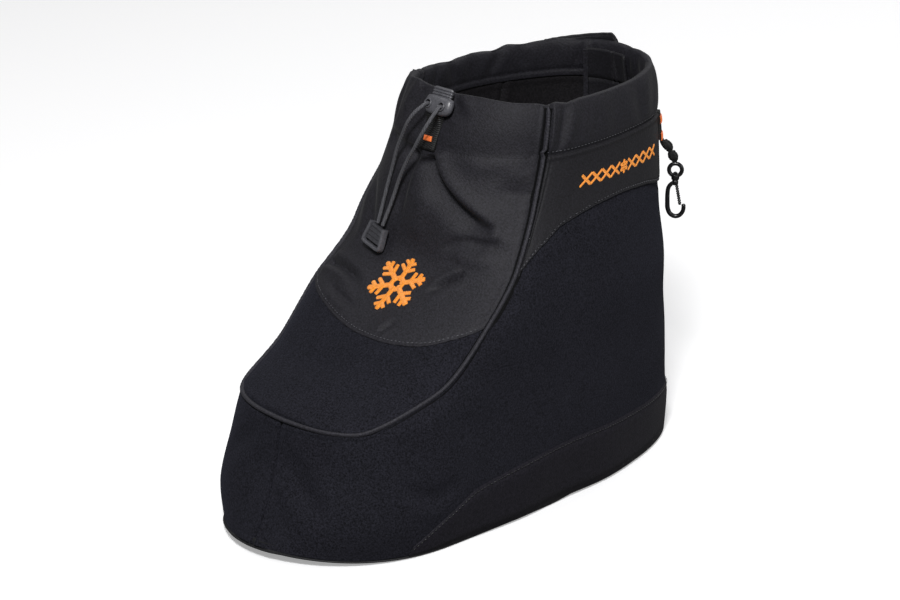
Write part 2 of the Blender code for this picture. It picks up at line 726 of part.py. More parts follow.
def make_strip():
    """The webbing strip at the back edge, with a stitched bar near each end."""
    angles = np.linspace(*STRIP_ANGLES, ACROSS)
    heights = np.linspace(*STRIP_HEIGHTS, STRIP_STATIONS)
    rings = []
    for height in heights:
        inner = wall(angles, height, SEAT)
        outer = wall(angles, height, SEAT + STRIP_THICK)
        rings.append(np.concatenate([inner, outer[::-1]]))
    add_part("rear_webbing", *loft(rings), webbing, root)
    add_tack("rear_bar_tack_upper", *UPPER_TACK, SEAT + STRIP_THICK)
    add_tack("rear_bar_tack_lower", *LOWER_TACK, SEAT + STRIP_THICK)


def hook_place(reach, z):
    """A point reach metres out from the wall line that the hook hangs beside."""
    line = wall(HOOK_ANGLE, HOOK_WALL_HEIGHT)
    flat, _ = slopes(np.asarray(HOOK_ANGLE), np.asarray(HOOK_WALL_HEIGHT))
    return np.array([line[0], line[1], 0]) + flat * reach + np.array([0, 0, z])


def make_hook_cord():
    """The cord from the strip to the eye, with its two knots."""
    points = [hook_place(stop.reach, stop.z) for stop in HOOK_CORD]
    share = np.linspace(0, 1, len(points))
    fine = np.linspace(0, 1, 2 * len(points) - 1)
    path = np.stack([smooth_curve(share, [p[k] for p in points], fine) for k in range(3)], axis=1)
    radii = smooth_curve(share, [stop.radius for stop in HOOK_CORD], fine)
    across = (-hook_out[1], hook_out[0], 0)
    add_part("hook_cord", *loft(swept(path, radii, across)), webbing, root)


def make_eye(pivot):
    """The swivel eye: a ring on a bored boss, in the plane that stands out from the wall."""
    turn = np.radians(360 / EYE_STATIONS) * np.arange(EYE_STATIONS)
    around = np.radians(45) * (np.arange(8) + 0.5)
    spoke = np.stack([np.cos(turn), 0 * turn, np.sin(turn)], axis=1)[:, None]
    rings = (
        EYE_RADIUS * spoke
        + EYE_ROD * np.cos(around)[None, :, None] * spoke
        + EYE_ROD * np.sin(around)[None, :, None] * np.array([0, 1, 0])
        + np.array([0, 0, EYE_CENTRE])
    )
    ring = add_part("swivel_eye", *loft(rings, closed=True), black_plastic, pivot)
    edge = BOSS_RADIUS - BOSS_ROUND
    boss = turned([
        (BOSS_BOTTOM, edge), (BOSS_BOTTOM + BOSS_ROUND, BOSS_RADIUS),
        (BOSS_TOP - BOSS_ROUND, BOSS_RADIUS), (BOSS_TOP, edge),
    ])
    combine(ring, cutter("eye_boss", boss, pivot), "UNION")
    loose = PIN_RADIUS + PIN_CLEAR
    bore = turned([(BOSS_BOTTOM - loose, loose), (BOSS_TOP + loose, loose)])
    combine(ring, cutter("eye_bore", bore, pivot), "DIFFERENCE")


def make_hook(pivot):
    """The hook: headed pin, shoulder, spine round to the nose, and the ribbed gate."""
    head = BOSS_TOP + PIN_CLEAR
    foot = HOOK_TOP - SHOULDER_TALL
    edge = SHOULDER_RADIUS - BOSS_ROUND
    profile = [
        (foot, edge), (foot + BOSS_ROUND, SHOULDER_RADIUS), (HOOK_TOP - BOSS_ROUND, SHOULDER_RADIUS),
        (HOOK_TOP, edge), (HOOK_TOP, PIN_RADIUS), (head, PIN_RADIUS), (head, HEAD_RADIUS),
        (head + HEAD_TALL - BOSS_ROUND, HEAD_RADIUS), (head + HEAD_TALL, HEAD_RADIUS - BOSS_ROUND),
    ]
    hook = add_part("snap_hook", *loft(turned(profile)), black_plastic, pivot)
    points = [(point.reach, 0, HOOK_TOP + point.level) for point in HOOK_SPINE]
    path = smooth_route(points, 1.4 * SPINE_ROD)
    last = len(path) - 1
    radii = np.interp(np.arange(last + 1), [0, last - 4, last], [SPINE_ROD, SPINE_ROD, NOSE_ROD])
    combine(hook, cutter("hook_spine", swept(path, radii, (0, 1, 0)), pivot), "UNION")
    reach = np.linspace(GATE_TOP[0], GATE_FOOT[0], GATE_STATIONS)
    level = np.linspace(GATE_TOP[1], GATE_FOOT[1], GATE_STATIONS)
    gate = np.stack([reach, 0 * reach, HOOK_TOP + level], axis=1)
    ribs = np.array(GATE_RODS)[np.arange(GATE_STATIONS) % 2]
    combine(hook, cutter("hook_gate", swept(gate, ribs, (0, 1, 0)), pivot), "UNION")


for old in list(bpy.data.objects):
    bpy.data.objects.remove(old)

helper_material = make_material("helper", "808080", 0.5)
fleece = make_material("brushed_fleece", "17181f", 0.92)
woven = make_material("woven_softshell", "1f1f22", 0.80)
lining = make_material("lining", "1b1a1a", 0.85)
rubber = make_material("rubberised_sole", "232327", 0.70)
webbing = make_material("nylon_webbing", "141416", 0.65)
cord_grey = make_material("grey_cord", "6b6c70", 0.70)
grey_plastic = make_material("grey_plastic", "6e6f74", 0.45)
black_plastic = make_material("black_plastic", "1a1a1c", 0.35)
orange_thread = make_material("orange_thread", "f0682c", 0.60)

root = add_empty("overshoe")
hook_out = slopes(np.asarray(HOOK_ANGLE), np.asarray(HOOK_WALL_HEIGHT))[0]

make_upper()
make_sole()
make_insole()
make_piping()
make_heel_band()
make_rear_flap()
make_lock()
make_tab()
make_strand("drawcord_inner", ROUTE_INNER)
make_strand("drawcord_outer", ROUTE_OUTER)
make_clip()
make_strip()
make_hook_cord()
hook_turn = Matrix.Rotation(math.atan2(hook_out[1], hook_out[0]), 4, "Z")
hook_pivot = add_empty("hook_pivot", root, Matrix.Translation(hook_place(HOOK_REACH, 0)) @ hook_turn)
make_eye(hook_pivot)
make_hook(hook_pivot)
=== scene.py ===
import math

import bpy
import numpy as np
from mathutils import Matrix, Vector


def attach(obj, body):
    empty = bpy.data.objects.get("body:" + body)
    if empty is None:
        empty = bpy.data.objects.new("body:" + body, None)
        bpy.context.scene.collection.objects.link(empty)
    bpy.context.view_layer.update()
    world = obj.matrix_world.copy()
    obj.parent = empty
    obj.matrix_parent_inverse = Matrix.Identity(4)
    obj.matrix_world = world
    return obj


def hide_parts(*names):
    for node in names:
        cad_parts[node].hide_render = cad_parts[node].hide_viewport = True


# Winter overshoe for the left foot: padded cloth panels over a thin rubberised sole.
# Angles are in degrees round the foot, 0 at the toe and 90 on the outer side.
# Heights are parts of the collar's height. Everything else is in metres.

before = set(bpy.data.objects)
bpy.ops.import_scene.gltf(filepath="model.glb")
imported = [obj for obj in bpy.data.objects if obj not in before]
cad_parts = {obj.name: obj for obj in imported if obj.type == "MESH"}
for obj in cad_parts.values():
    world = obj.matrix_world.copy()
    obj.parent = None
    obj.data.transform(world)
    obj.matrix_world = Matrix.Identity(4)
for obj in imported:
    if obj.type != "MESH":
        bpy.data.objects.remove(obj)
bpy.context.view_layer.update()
tau = 2 * math.pi


# camera and light
studio = {
    "cameraPlace": (1.37813, -1.32104, 0.80717),
    "lookAt": (-0.020, 0.014, 0.117),
    "lens": 124.0,
    "floorColour": "#f6f6f7",
    "floorGlow": 0.33,
    "floorSize": 9,
    "floorDrop": 0.0003,
    "worldStrength": 0.155,
    # name, place, what it looks at, size in metres and power in watts
    "lights": [
        ("softKey", (1.10, -1.25, 1.62), (0, -0.02, 0.12), 0.36, 41),
        ("topLight", (-0.9, -0.7, 2.1), (0, -0.02, 0.12), 1.2, 6.5),
        ("sideFill", (2.3, 0.2, 0.75), (0, 0.03, 0.10), 1.2, 9),
        ("backLight", (-0.7, 1.6, 1.7), (0, 0, 0.15), 1.4, 12),
        ("heelLight", (0.9, 2.1, 0.9), (0, 0.05, 0.12), 1.4, 4),
    ],
}


def toLinear(hexColour):
    # each sRGB channel c to linear light: c / 12.92 when dark, else ((c + 0.055) / 1.055)^2.4
    channels = [int(hexColour[i:i + 2], 16) / 255 for i in (1, 3, 5)]
    return tuple(c / 12.92 if c <= 0.04045 else ((c + 0.055) / 1.055) ** 2.4 for c in channels) + (1.0,)


def aimed(place, target):
    # the matrix of something at place whose -Z looks at target
    turn = (Vector(target) - Vector(place)).to_track_quat("-Z", "Y")
    return Matrix.LocRotScale(Vector(place), turn, None)


def addLight(name, place, target, size, power):
    light = bpy.data.lights.new(name, "AREA")
    light.shape = "DISK"
    light.size = size
    light.energy = power
    lamp = bpy.data.objects.new(name, light)
    lamp.matrix_world = aimed(place, target)
    bpy.context.scene.collection.objects.link(lamp)


def setStudio():
    scene = bpy.context.scene
    scene.view_settings.view_transform = "Standard"
    camera = bpy.data.objects.new("camera", bpy.data.cameras.new("camera"))
    camera.data.lens = studio["lens"]
    camera.data.sensor_width = 36
    camera.data.clip_end = 50
    camera.matrix_world = aimed(studio["cameraPlace"], studio["lookAt"])
    scene.collection.objects.link(camera)
    scene.camera = camera
    for light in studio["lights"]:
        addLight(*light)
    world = bpy.data.worlds.new("studioAir")
    world.use_nodes = True
    air = world.node_tree.nodes["Background"]
    air.inputs["Color"].default_value = (1, 1, 1, 1)
    air.inputs["Strength"].default_value = studio["worldStrength"]
    scene.world = world


# materials
def addNode(tree, kind, settings=None, links=None):
    # one node with its settings, which are sockets or properties, and its links
    node = tree.nodes.new("ShaderNode" + kind)
    for name, value in (settings or {}).items():
        if isinstance(name, int) or name in node.inputs:
            node.inputs[name].default_value = value
        else:
            setattr(node, name, value)
    for name, socket in (links or {}).items():
        tree.links.new(socket, node.inputs[name])
    return node


def startMaterial(name, settings):
    material = bpy.data.materials.new(name)
    material.use_nodes = True
    shader = material.node_tree.nodes["Principled BSDF"]
    for socket, value in settings.items():
        shader.inputs[socket].default_value = value
    return material, material.node_tree, shader


def joinColour(tree, shader, factor, dark, light, start=0.0, end=1.0):
    # the factor runs the base colour from dark at start to light at end
    ramp = addNode(tree, "ValToRGB", links={"Fac": factor})
    for stop, colour, spot in zip(ramp.color_ramp.elements, (dark, light), (start, end)):
        stop.color = toLinear(colour)
        stop.position = spot
    tree.links.new(ramp.outputs["Color"], shader.inputs["Base Color"])


def joinBump(tree, shader, height, depth, strength=1.0):
    # depth is the relief's real height in metres
    bump = addNode(tree, "Bump", {"Strength": strength, "Distance": depth}, {"Height": height})
    tree.links.new(bump.outputs["Normal"], shader.inputs["Normal"])


def sineOf(tree, value, pitch, phase=0.0):
    # a wave of this pitch in metres along a coordinate
    scaled = addNode(tree, "Math", {"operation": "MULTIPLY_ADD", 1: tau / pitch, 2: phase}, {0: value})
    return addNode(tree, "Math", {"operation": "SINE"}, {0: scaled.outputs[0]}).outputs[0]


def blendTwo(tree, first, second, operation="ADD", weight=1.0):
    # first and second joined, the second times weight
    if operation == "ADD":
        node = addNode(tree, "Math", {"operation": "MULTIPLY_ADD", 1: weight}, {0: second, 2: first})
    else:
        node = addNode(tree, "Math", {"operation": operation}, {0: first, 1: second})
    return node.outputs[0]


def makeBrushedFleece():
    # Polyester fleece with a brushed nap: soft grain, patches where the nap lies another way, and
    # a bluish sheen at grazing angles. The nap is about 0.3 mm, drawn at 1.1 mm so that it shows.
    material, tree, shader = startMaterial("brushedFleece", {
        "Roughness": 0.95, "Specular IOR Level": 0.12, "Sheen Weight": 0.07, "Sheen Roughness": 0.5,
        "Sheen Tint": toLinear("#8f92ad"),
    })
    place = addNode(tree, "TexCoord").outputs["Object"]
    fine = {"Scale": 1 / 0.0011, "Detail": 3.0, "Roughness": 0.62}
    nap = addNode(tree, "TexNoise", fine, {"Vector": place})
    patch = addNode(tree, "TexNoise", {"Scale": 1 / 0.025, "Detail": 2.0}, {"Vector": place})
    pill = addNode(tree, "TexVoronoi", {"Scale": 1 / 0.0024}, {"Vector": place})
    mixed = blendTwo(tree, nap.outputs[0], patch.outputs[0], weight=0.10)
    joinColour(tree, shader, mixed, "#0b0b0e", "#292931", 0.36, 0.74)
    relief = blendTwo(tree, nap.outputs[0], pill.outputs["Distance"], weight=0.08)
    joinBump(tree, shader, relief, 0.00055, 0.8)
    return material


def makeSoftshell(name="wovenSoftshell", dark="#141318", light="#28272e", gloss=0.34):
    # Woven polyester face of a softshell: a fine plain weave, matt, a little lighter on its crowns.
    # The threads are about 0.35 mm apart, drawn at 0.95 mm so that they show.
    material, tree, shader = startMaterial(name, {
        "Roughness": 0.68, "Specular IOR Level": gloss, "Sheen Weight": 0.03, "Sheen Roughness": 0.4,
    })
    coords = addNode(tree, "TexCoord").outputs
    split = addNode(tree, "SeparateXYZ", links={0: coords["UV"]})
    warp, weft = (sineOf(tree, split.outputs[k], 0.0019) for k in (0, 1))
    weave = blendTwo(tree, warp, weft, "MULTIPLY")
    grain = addNode(tree, "TexNoise", {"Scale": 1 / 0.0013, "Detail": 3.0}, {"Vector": coords["Object"]})
    tone = blendTwo(tree, grain.outputs[0], weave, weight=0.05)
    joinColour(tree, shader, tone, dark, light, 0.33, 0.72)
    joinBump(tree, shader, tone, 0.00036, 0.85)
    return material


def makeWebbing():
    # Woven nylon webbing: ribs across the strap with a slight gloss, 0.65 mm from one to the next.
    material, tree, shader = startMaterial("nylonWebbing", {"Roughness": 0.6, "Specular IOR Level": 0.5})
    split = addNode(tree, "SeparateXYZ", links={0: addNode(tree, "TexCoord").outputs["UV"]})
    ribs = sineOf(tree, split.outputs[1], 0.0013)
    weave = blendTwo(tree, ribs, sineOf(tree, split.outputs[0], 0.0018), "MULTIPLY")
    joinColour(tree, shader, weave, "#0b0b0c", "#19191b")
    joinBump(tree, shader, weave, 0.0002, 0.9)
    return material


def makeBraidedCord():
    # Polyester shock cord with a braided cover: two sets of yarn cross on the slant and catch the
    # light in turn. The yarns are about 0.4 mm, drawn at 0.75 mm so that they show.
    material, tree, shader = startMaterial("braidedCord", {"Roughness": 0.72, "Specular IOR Level": 0.35})
    split = addNode(tree, "SeparateXYZ", links={0: addNode(tree, "TexCoord").outputs["Object"]})
    rise = blendTwo(tree, split.outputs[2], split.outputs[0], weight=0.6)
    fall = blendTwo(tree, split.outputs[2], split.outputs[0], weight=-0.6)
    braid = blendTwo(tree, sineOf(tree, rise, 0.0015), sineOf(tree, fall, 0.0015), "MULTIPLY")
    joinColour(tree, shader, braid, "#4a4a4e", "#6c6c72")
    joinBump(tree, shader, braid, 0.00018, 0.8)
    return material


def makeMoulded(name, dark, light, roughness):
    # Injection-moulded nylon or acetal: an even colour, faint spark grain and soft highlights.
    material, tree, shader = startMaterial(name, {"Roughness": roughness, "IOR": 1.5})
    place = addNode(tree, "TexCoord").outputs["Object"]
    grain = addNode(tree, "TexNoise", {"Scale": 1 / 0.0012, "Detail": 4.0}, {"Vector": place})
    joinColour(tree, shader, grain.outputs[0], dark, light, 0.3, 0.7)
    joinBump(tree, shader, grain.outputs[0], 0.00008, 0.6)
    return material


def makeThread(name, dark, light, pitch, paintedGlow=0.0):
    # Trilobal polyester embroidery thread in satin stitch: parallel strands with a silky gloss.
    # The strands are 0.4 mm, drawn 0.8 to 0.9 mm apart so that they show. The glow given to it is
    # painted light: an even emission that makes the thread brighter than the lamps alone would.
    material, tree, shader = startMaterial(name, {
        "Roughness": 0.42, "Specular IOR Level": 0.5, "Sheen Weight": 0.1,
        "Emission Color": toLinear(light), "Emission Strength": paintedGlow,
    })
    coords = addNode(tree, "TexCoord").outputs
    split = addNode(tree, "SeparateXYZ", links={0: coords["UV"]})
    strands = sineOf(tree, split.outputs[1], pitch)
    uneven = addNode(tree, "TexNoise", {"Scale": 1 / 0.0012, "Detail": 2.0}, {"Vector": coords["Object"]})
    tone = blendTwo(tree, uneven.outputs[0], strands, weight=0.16)
    joinColour(tree, shader, tone, dark, light, 0.25, 0.75)
    joinBump(tree, shader, strands, 0.00022, 0.9)
    return material


def makeRubber():
    # Rubberised sheet: a thin black coat over cloth, matt, with a fine pebble.
    material, tree, shader = startMaterial("rubberisedSheet", {"Roughness": 0.68, "Specular IOR Level": 0.45})
    place = addNode(tree, "TexCoord").outputs["Object"]
    pebble = addNode(tree, "TexVoronoi", {"Scale": 1 / 0.0021}, {"Vector": place})
    dust = addNode(tree, "TexNoise", {"Scale": 1 / 0.03, "Detail": 5.0}, {"Vector": place})
    joinColour(tree, shader, dust.outputs[0], "#121214", "#242427")
    joinBump(tree, shader, pebble.outputs["Distance"], 0.00025, 0.7)
    return material


def makeFloorPaper():
    # Plain matt studio paper, lit through from below so that it stays pale round the shoe.
    return startMaterial("studioPaper", {
        "Roughness": 0.9, "Specular IOR Level": 0.1, "Base Color": toLinear(studio["floorColour"]),
        "Emission Color": (1, 1, 1, 1), "Emission Strength": studio["floorGlow"],
    })[0]


# the shoe's surface
shoe = {
    "length": 0.359, "ballWidth": 0.1736, "height": 0.270, "angleStep": 0.5, "heightStep": 0.004,
    "toeSpring": 0.006, "springStart": 0.265, "springRun": 0.223, "springTop": 0.304,
    "collarDip": 0.0045, "dipStart": 0.667, "heelPower": 2.5, "casingSeam": 0.880, "foot": 0.0066,
}
# height, toe, heel, half width, widest place, power of the oval in front
sectionTable = np.array([
    (0.000, 0.503, 0.499, 0.455, 0.217, 2.05),
    (0.104, 0.467, 0.496, 0.478, 0.182, 2.80),
    (0.215, 0.432, 0.490, 0.484, 0.148, 3.00),
    (0.304, 0.420, 0.483, 0.486, 0.108, 2.80),
    (0.389, 0.306, 0.475, 0.492, 0.082, 2.70),
    (0.500, 0.207, 0.467, 0.498, 0.063, 2.75),
    (0.630, 0.106, 0.457, 0.467, -0.005, 2.50),
    (0.759, 0.090, 0.448, 0.429, -0.075, 2.30),
    (0.889, 0.068, 0.440, 0.398, -0.114, 2.15),
    (1.000, 0.028, 0.432, 0.375, -0.120, 2.28),
])


def softStep(t):
    # 3t^2 - 2t^3 between 0 and 1
    t = np.clip(t, 0, 1)
    return t * t * (3 - 2 * t)


def bell(away, half, power=2):
    # exp(-(away / half)^power)
    return np.exp(-(away / half) ** power)


def unit(vectors):
    # each vector over its own length
    return vectors / np.linalg.norm(vectors, axis=-1, keepdims=True)


def ringTurn(count, start=0.0):
    # even turns round a circle
    return tau * (np.arange(count) + start) / count


def signedAngle(angle):
    # the same angle from -180 to 180, minus on the inner side
    return (angle + 180) % 360 - 180


def crowded(t, crowding):
    # t - c sin(tau t) / tau: rows that lie closer together at both ends
    return t - crowding * np.sin(tau * t) / tau


def smoothCurve(places, values, where):
    # a monotone cubic through the rows, read at where
    places, values = np.asarray(places, float), np.asarray(values, float)
    steps = np.diff(places)
    grades = np.diff(values) / steps
    before, after = grades[:-1], grades[1:]
    weights = 2 * steps[1:] + steps[:-1], steps[1:] + 2 * steps[:-1]
    same = before * after > 0
    safe = [np.where(same, g, 1.0) for g in (before, after)]
    inner = np.where(same, sum(weights) / (weights[0] / safe[0] + weights[1] / safe[1]), 0.0)
    tangents = np.concatenate([grades[:1], inner, grades[-1:]])
    where = np.clip(where, places[0], places[-1])
    row = np.clip(np.searchsorted(places, where) - 1, 0, len(steps) - 1)
    t = (where - places[row]) / steps[row]
    return (
        (1 + 2 * t) * (1 - t) ** 2 * values[row]
        + t * (1 - t) ** 2 * steps[row] * tangents[row]
        + t * t * (3 - 2 * t) * values[row + 1]
        + t * t * (t - 1) * steps[row] * tangents[row + 1]
    )


def springRise(y, height):
    # how far the toe springs up at y: the run into the spring squared, fading with height
    run = np.clip((-shoe["springStart"] * shoe["length"] - y) / (shoe["springRun"] * shoe["length"]), 0, 1)
    return shoe["toeSpring"] * (run ** 2 * np.clip(1 - height / shoe["springTop"], 0, 1))


def shellPoint(angle, height):
    # an oval at each height, x = w sin/r and y = widest - reach cos/r, where r is the oval's own
    # norm of (sin, cos). The collar dips at its sides and the toe springs up.
    angle, height = np.broadcast_arrays(np.radians(angle), np.asarray(height, float))
    toe, heel, half, widest, power = (
        smoothCurve(sectionTable[:, 0], sectionTable[:, k], height) * scale
        for k, scale in ((1, shoe["length"]), (2, shoe["length"]), (3, shoe["ballWidth"]),
                         (4, shoe["length"]), (5, 1.0))
    )
    across, along = np.sin(angle), np.cos(angle)
    power = np.where(along > 0, power, shoe["heelPower"])
    norm = (np.abs(across) ** power + np.abs(along) ** power) ** (1 / power)
    x = half * across / norm
    y = -widest - np.where(along > 0, toe - widest, heel + widest) * along / norm
    dip = np.clip((height - shoe["dipStart"]) / (1 - shoe["dipStart"]), 0, 1) ** 2 * across ** 2
    z = height * shoe["height"] - shoe["collarDip"] * dip + springRise(y, height)
    return np.stack([x, y, z], axis=-1)


def shellNormal(angle, height):
    # the surface's own normal: its step along the angle crossed with its step up
    turn, step = shoe["angleStep"], shoe["heightStep"]
    along = shellPoint(angle + turn, height) - shellPoint(angle - turn, height)
    rise = shellPoint(angle, np.minimum(height + step, 1)) - shellPoint(angle, np.maximum(height - step, 0))
    return unit(np.cross(along, rise))


def lengthsAlong(points):
    # running length along the last line of points, starting at 0
    steps = np.linalg.norm(np.diff(points, axis=0), axis=-1)
    return np.concatenate([np.zeros((1,) + steps.shape[1:]), np.cumsum(steps, axis=0)])


def bothRuns(points):
    # running lengths across and up a grid of points
    return lengthsAlong(points), np.moveaxis(lengthsAlong(np.moveaxis(points, 1, 0)), 0, 1)


def evenPath(path, count, crowding=0.0):
    # a path of (angle, height) rows resampled to even real lengths, closer at its ends
    path = np.asarray(path, float)
    rows = np.arange(len(path))
    fine = np.linspace(0, len(path) - 1, 30 * len(path))
    dense = np.stack([smoothCurve(rows, path[:, k], fine) for k in (0, 1)], axis=1)
    run = lengthsAlong(shellPoint(dense[:, 0], dense[:, 1]))
    stops = crowded(np.linspace(0, 1, count), crowding) * run[-1]
    return np.stack([np.interp(stops, run, dense[:, k]) for k in (0, 1)], axis=1)


# soft folds
# Each fold runs along a path of (angle, height in mm of the shoe), and is made of bells beside
# the path: (offset, rise, half width before, half width past it), all in mm. A minus offset is to
# the left of the path's direction. ends says how much of the path each end takes to fade in.
folds = [
    # the deep fold that runs from the tab's foot down to the piping, its lip and its far bank
    {"path": [(6.5, 234), (10, 226), (14, 219.5), (19, 213.5), (25, 208), (32, 202.5), (39, 197.5),
              (46, 193.5), (50, 190)],
     "bells": [(5.2, -7.2, 3.3, 10.5), (-1.2, 2.7, 7.0, 2.3)], "ends": (0.05, 0.32)},
    {"path": [(50, 190), (44, 188), (38, 187), (32, 187), (25, 187)],
     "bells": [(0.0, 2.1, 3.0, 4.0)], "ends": (0.20, 0.50)},
    {"path": [(19, 168), (20, 176), (25, 181), (33, 183), (41, 183), (49, 181), (56, 177), (61, 172)],
     "bells": [(0.0, -2.8, 4.0, 6.5), (11.0, 1.4, 5.0, 5.5)], "ends": (0.25, 0.55)},
    # short sharp creases beside the snow motif
    {"path": [(17, 150), (20, 153.5), (24, 158), (28, 161), (33, 164.5)],
     "bells": [(0.0, -3.2, 1.2, 2.2), (-3.8, 1.8, 3.0, 2.0), (7.0, 0.7, 4.0, 4.0)], "ends": (0.40, 0.20)},
    {"path": [(-52, 147), (-35, 149), (-25, 148), (-15, 144)],
     "bells": [(0.0, -3.4, 2.4, 3.2), (-6.0, 1.4, 3.5, 3.5), (6.4, 1.7, 3.5, 3.5)], "ends": (0.12, 0.35)},
    {"path": [(-36, 140), (-24, 138), (-14, 136), (-8, 138)],
     "bells": [(0.0, -1.7, 2.0, 2.8), (5.0, 1.0, 3.0, 3.0)], "ends": (0.35, 0.35)},
    {"path": [(9, 126), (11.5, 131), (15, 136)],
     "bells": [(0.0, -1.5, 1.6, 2.4), (-4.2, 0.9, 3.0, 3.0), (5.2, 0.5, 3.0, 3.0)], "ends": (0.35, 0.35)},
    # pulls below the tab and beside the clip
    {"path": [(-8, 234), (-11, 220), (-13, 204), (-14, 190), (-14, 178)],
     "bells": [(0.0, -4.2, 5.0, 7.0)], "ends": (0.12, 0.35)},
    {"path": [(6, 214), (1, 200), (0, 186), (1, 172)], "bells": [(0.0, 2.2, 7.0, 8.0)], "ends": (0.3, 0.3)},
    {"path": [(42, 219), (53, 214), (66, 213)],
     "bells": [(0.0, -1.8, 5.0, 6.0), (-12.0, 1.1, 5.0, 5.0)], "ends": (0.35, 0.2)},
    {"path": [(20, 231), (35, 230), (48, 232), (63, 234)],
     "bells": [(0.0, 1.3, 6.0, 6.0)], "ends": (0.3, 0.2)},
    {"path": [(-40, 233), (-24, 232), (-12, 230), (-2, 228)],
     "bells": [(0.0, -2.8, 4.0, 6.0), (-9.0, 1.2, 5.0, 5.0)], "ends": (0.2, 0.2)},
    {"path": [(-48, 205), (-38, 190), (-32, 172), (-30, 158)],
     "bells": [(0.0, -1.8, 5.0, 6.0), (12.0, 1.2, 6.0, 6.0)], "ends": (0.3, 0.3)},
    # the collar beside the cord lock
    {"path": [(9, 268), (13, 264), (18, 259), (25, 255)],
     "bells": [(0.0, -1.2, 3.2, 4.5), (-6.5, 0.8, 4.0, 4.0)], "ends": (0.12, 0.45)},
    {"path": [(-14, 268), (-19, 258), (-22, 246)],
     "bells": [(0.0, -1.8, 3.5, 3.5), (8.0, 1.4, 5.0, 5.0)], "ends": (0.15, 0.35)},
    # soft waves in the fleece
    {"path": [(61, 140), (66, 150), (72, 158)], "bells": [(0.0, -1.2, 5.0, 6.0)], "ends": (0.35, 0.35)},
    {"path": [(4, 66), (14, 50), (26, 36), (36, 24)],
     "bells": [(0.0, -1.9, 6.0, 7.0), (13.0, 1.4, 7.0, 7.0), (-13.0, 1.0, 7.0, 7.0)], "ends": (0.35, 0.35)},
    {"path": [(54, 62), (62, 46), (71, 40), (82, 50)],
     "bells": [(0.0, -2.0, 5.0, 6.0), (11.0, 1.2, 5.0, 6.0)], "ends": (0.35, 0.35)},
    {"path": [(60, 120), (76, 106), (92, 84)],
     "bells": [(0.0, -0.9, 9.0, 9.0), (18.0, 0.9, 9.0, 9.0)], "ends": (0.4, 0.4)},
    {"path": [(-24, 108), (-10, 104), (6, 108), (20, 116)],
     "bells": [(0.0, -0.9, 7.0, 8.0), (14.0, 0.8, 7.0, 7.0)], "ends": (0.4, 0.4)},
    {"path": [(-6, 78), (-22, 62), (-38, 40)],
     "bells": [(0.0, -1.3, 6.0, 7.0), (-12.0, 0.9, 7.0, 7.0)], "ends": (0.35, 0.35)},
    {"path": [(250, 60), (262, 90), (270, 130)],
     "bells": [(0.0, -1.1, 9.0, 9.0), (17.0, 0.9, 9.0, 9.0)], "ends": (0.4, 0.4)},
    {"path": [(150, 60), (163, 100), (168, 140)],
     "bells": [(0.0, -1.1, 9.0, 9.0), (17.0, 0.9, 9.0, 9.0)], "ends": (0.4, 0.4)},
]
foldLine = {"points": 60, "reach": 0.035}
billows = {"rise": 0.0011, "seed": 4, "waves": 9, "lengths": (0.045, 0.12)}


def foldShift(points, normals):
    # sum over the folds' bells of rise exp(-((d - offset)/half)^2), where d is the signed
    # distance from the path, each fold fading in and out along it
    places, facing = points.reshape(-1, 3), normals.reshape(-1, 3)
    shift = np.zeros(len(places))
    last = foldLine["points"] - 1
    for fold in folds:
        path = evenPath(np.array(fold["path"]) / (1, 1000 * shoe["height"]), foldLine["points"])
        line = shellPoint(path[:, 0], path[:, 1])
        middle = line[foldLine["points"] // 2]
        reach = foldLine["reach"] + np.linalg.norm(line - middle, axis=1).max()
        close = np.flatnonzero(np.linalg.norm(places - middle, axis=1) < reach)
        if not len(close):
            continue
        nearest = np.linalg.norm(places[close, None] - line[None], axis=2).argmin(axis=1)
        gap = places[close] - line[nearest]
        ahead = unit(np.gradient(line, axis=0)[nearest])
        past = np.sum(gap * ahead, axis=1) / lengthsAlong(line)[-1]
        sideways = np.sum(gap * np.cross(ahead, facing[close]), axis=1)
        run = nearest / last + np.where((nearest == 0) | (nearest == last), past, 0)
        fade = softStep(run / fold["ends"][0]) * softStep((1 - run) / fold["ends"][1])
        for offset, rise, before, after in fold["bells"]:
            away = sideways * 1000 - offset
            shift[close] += fade * rise / 1000 * bell(away, np.where(away < 0, before, after))
    return shift.reshape(points.shape[:-1])


def billowShift(points):
    # slow waves of seeded direction and phase, each rise/waves^0.5 tall, for cloth that isn't flat
    random = np.random.default_rng(billows["seed"])
    directions = unit(random.normal(size=(billows["waves"], 3)))
    lengths = random.uniform(*billows["lengths"], billows["waves"])
    phases = random.uniform(0, tau, billows["waves"])
    waves = np.sin(points @ (directions / lengths[:, None] * tau).T + phases)
    return billows["rise"] / math.sqrt(billows["waves"]) * waves.sum(axis=-1)


def clothShift(points, normals):
    return foldShift(points, normals) + billowShift(points)


def onCloth(angle, height, out=0.0):
    # points out metres off the folded cloth, and the normals there
    points = shellPoint(angle, height)
    normals = shellNormal(angle, height)
    shift = clothShift(points, normals) + out
    return points + normals * shift[..., None], normals


# meshes
def gridFaces(across, up, wrapAcross=False, wrapUp=False):
    # four corners of each cell of a grid whose points are stored column by column
    i = np.arange(across if wrapAcross else across - 1)[:, None]
    j = np.arange(up if wrapUp else up - 1)[None, :]
    ahead, above = (i + 1) % across, (j + 1) % up
    corners = [i * up + j, ahead * up + j, ahead * up + above, i * up + above]
    return np.stack([np.broadcast_to(c, (i.size, j.size)) for c in corners], axis=-1).reshape(-1, 4)


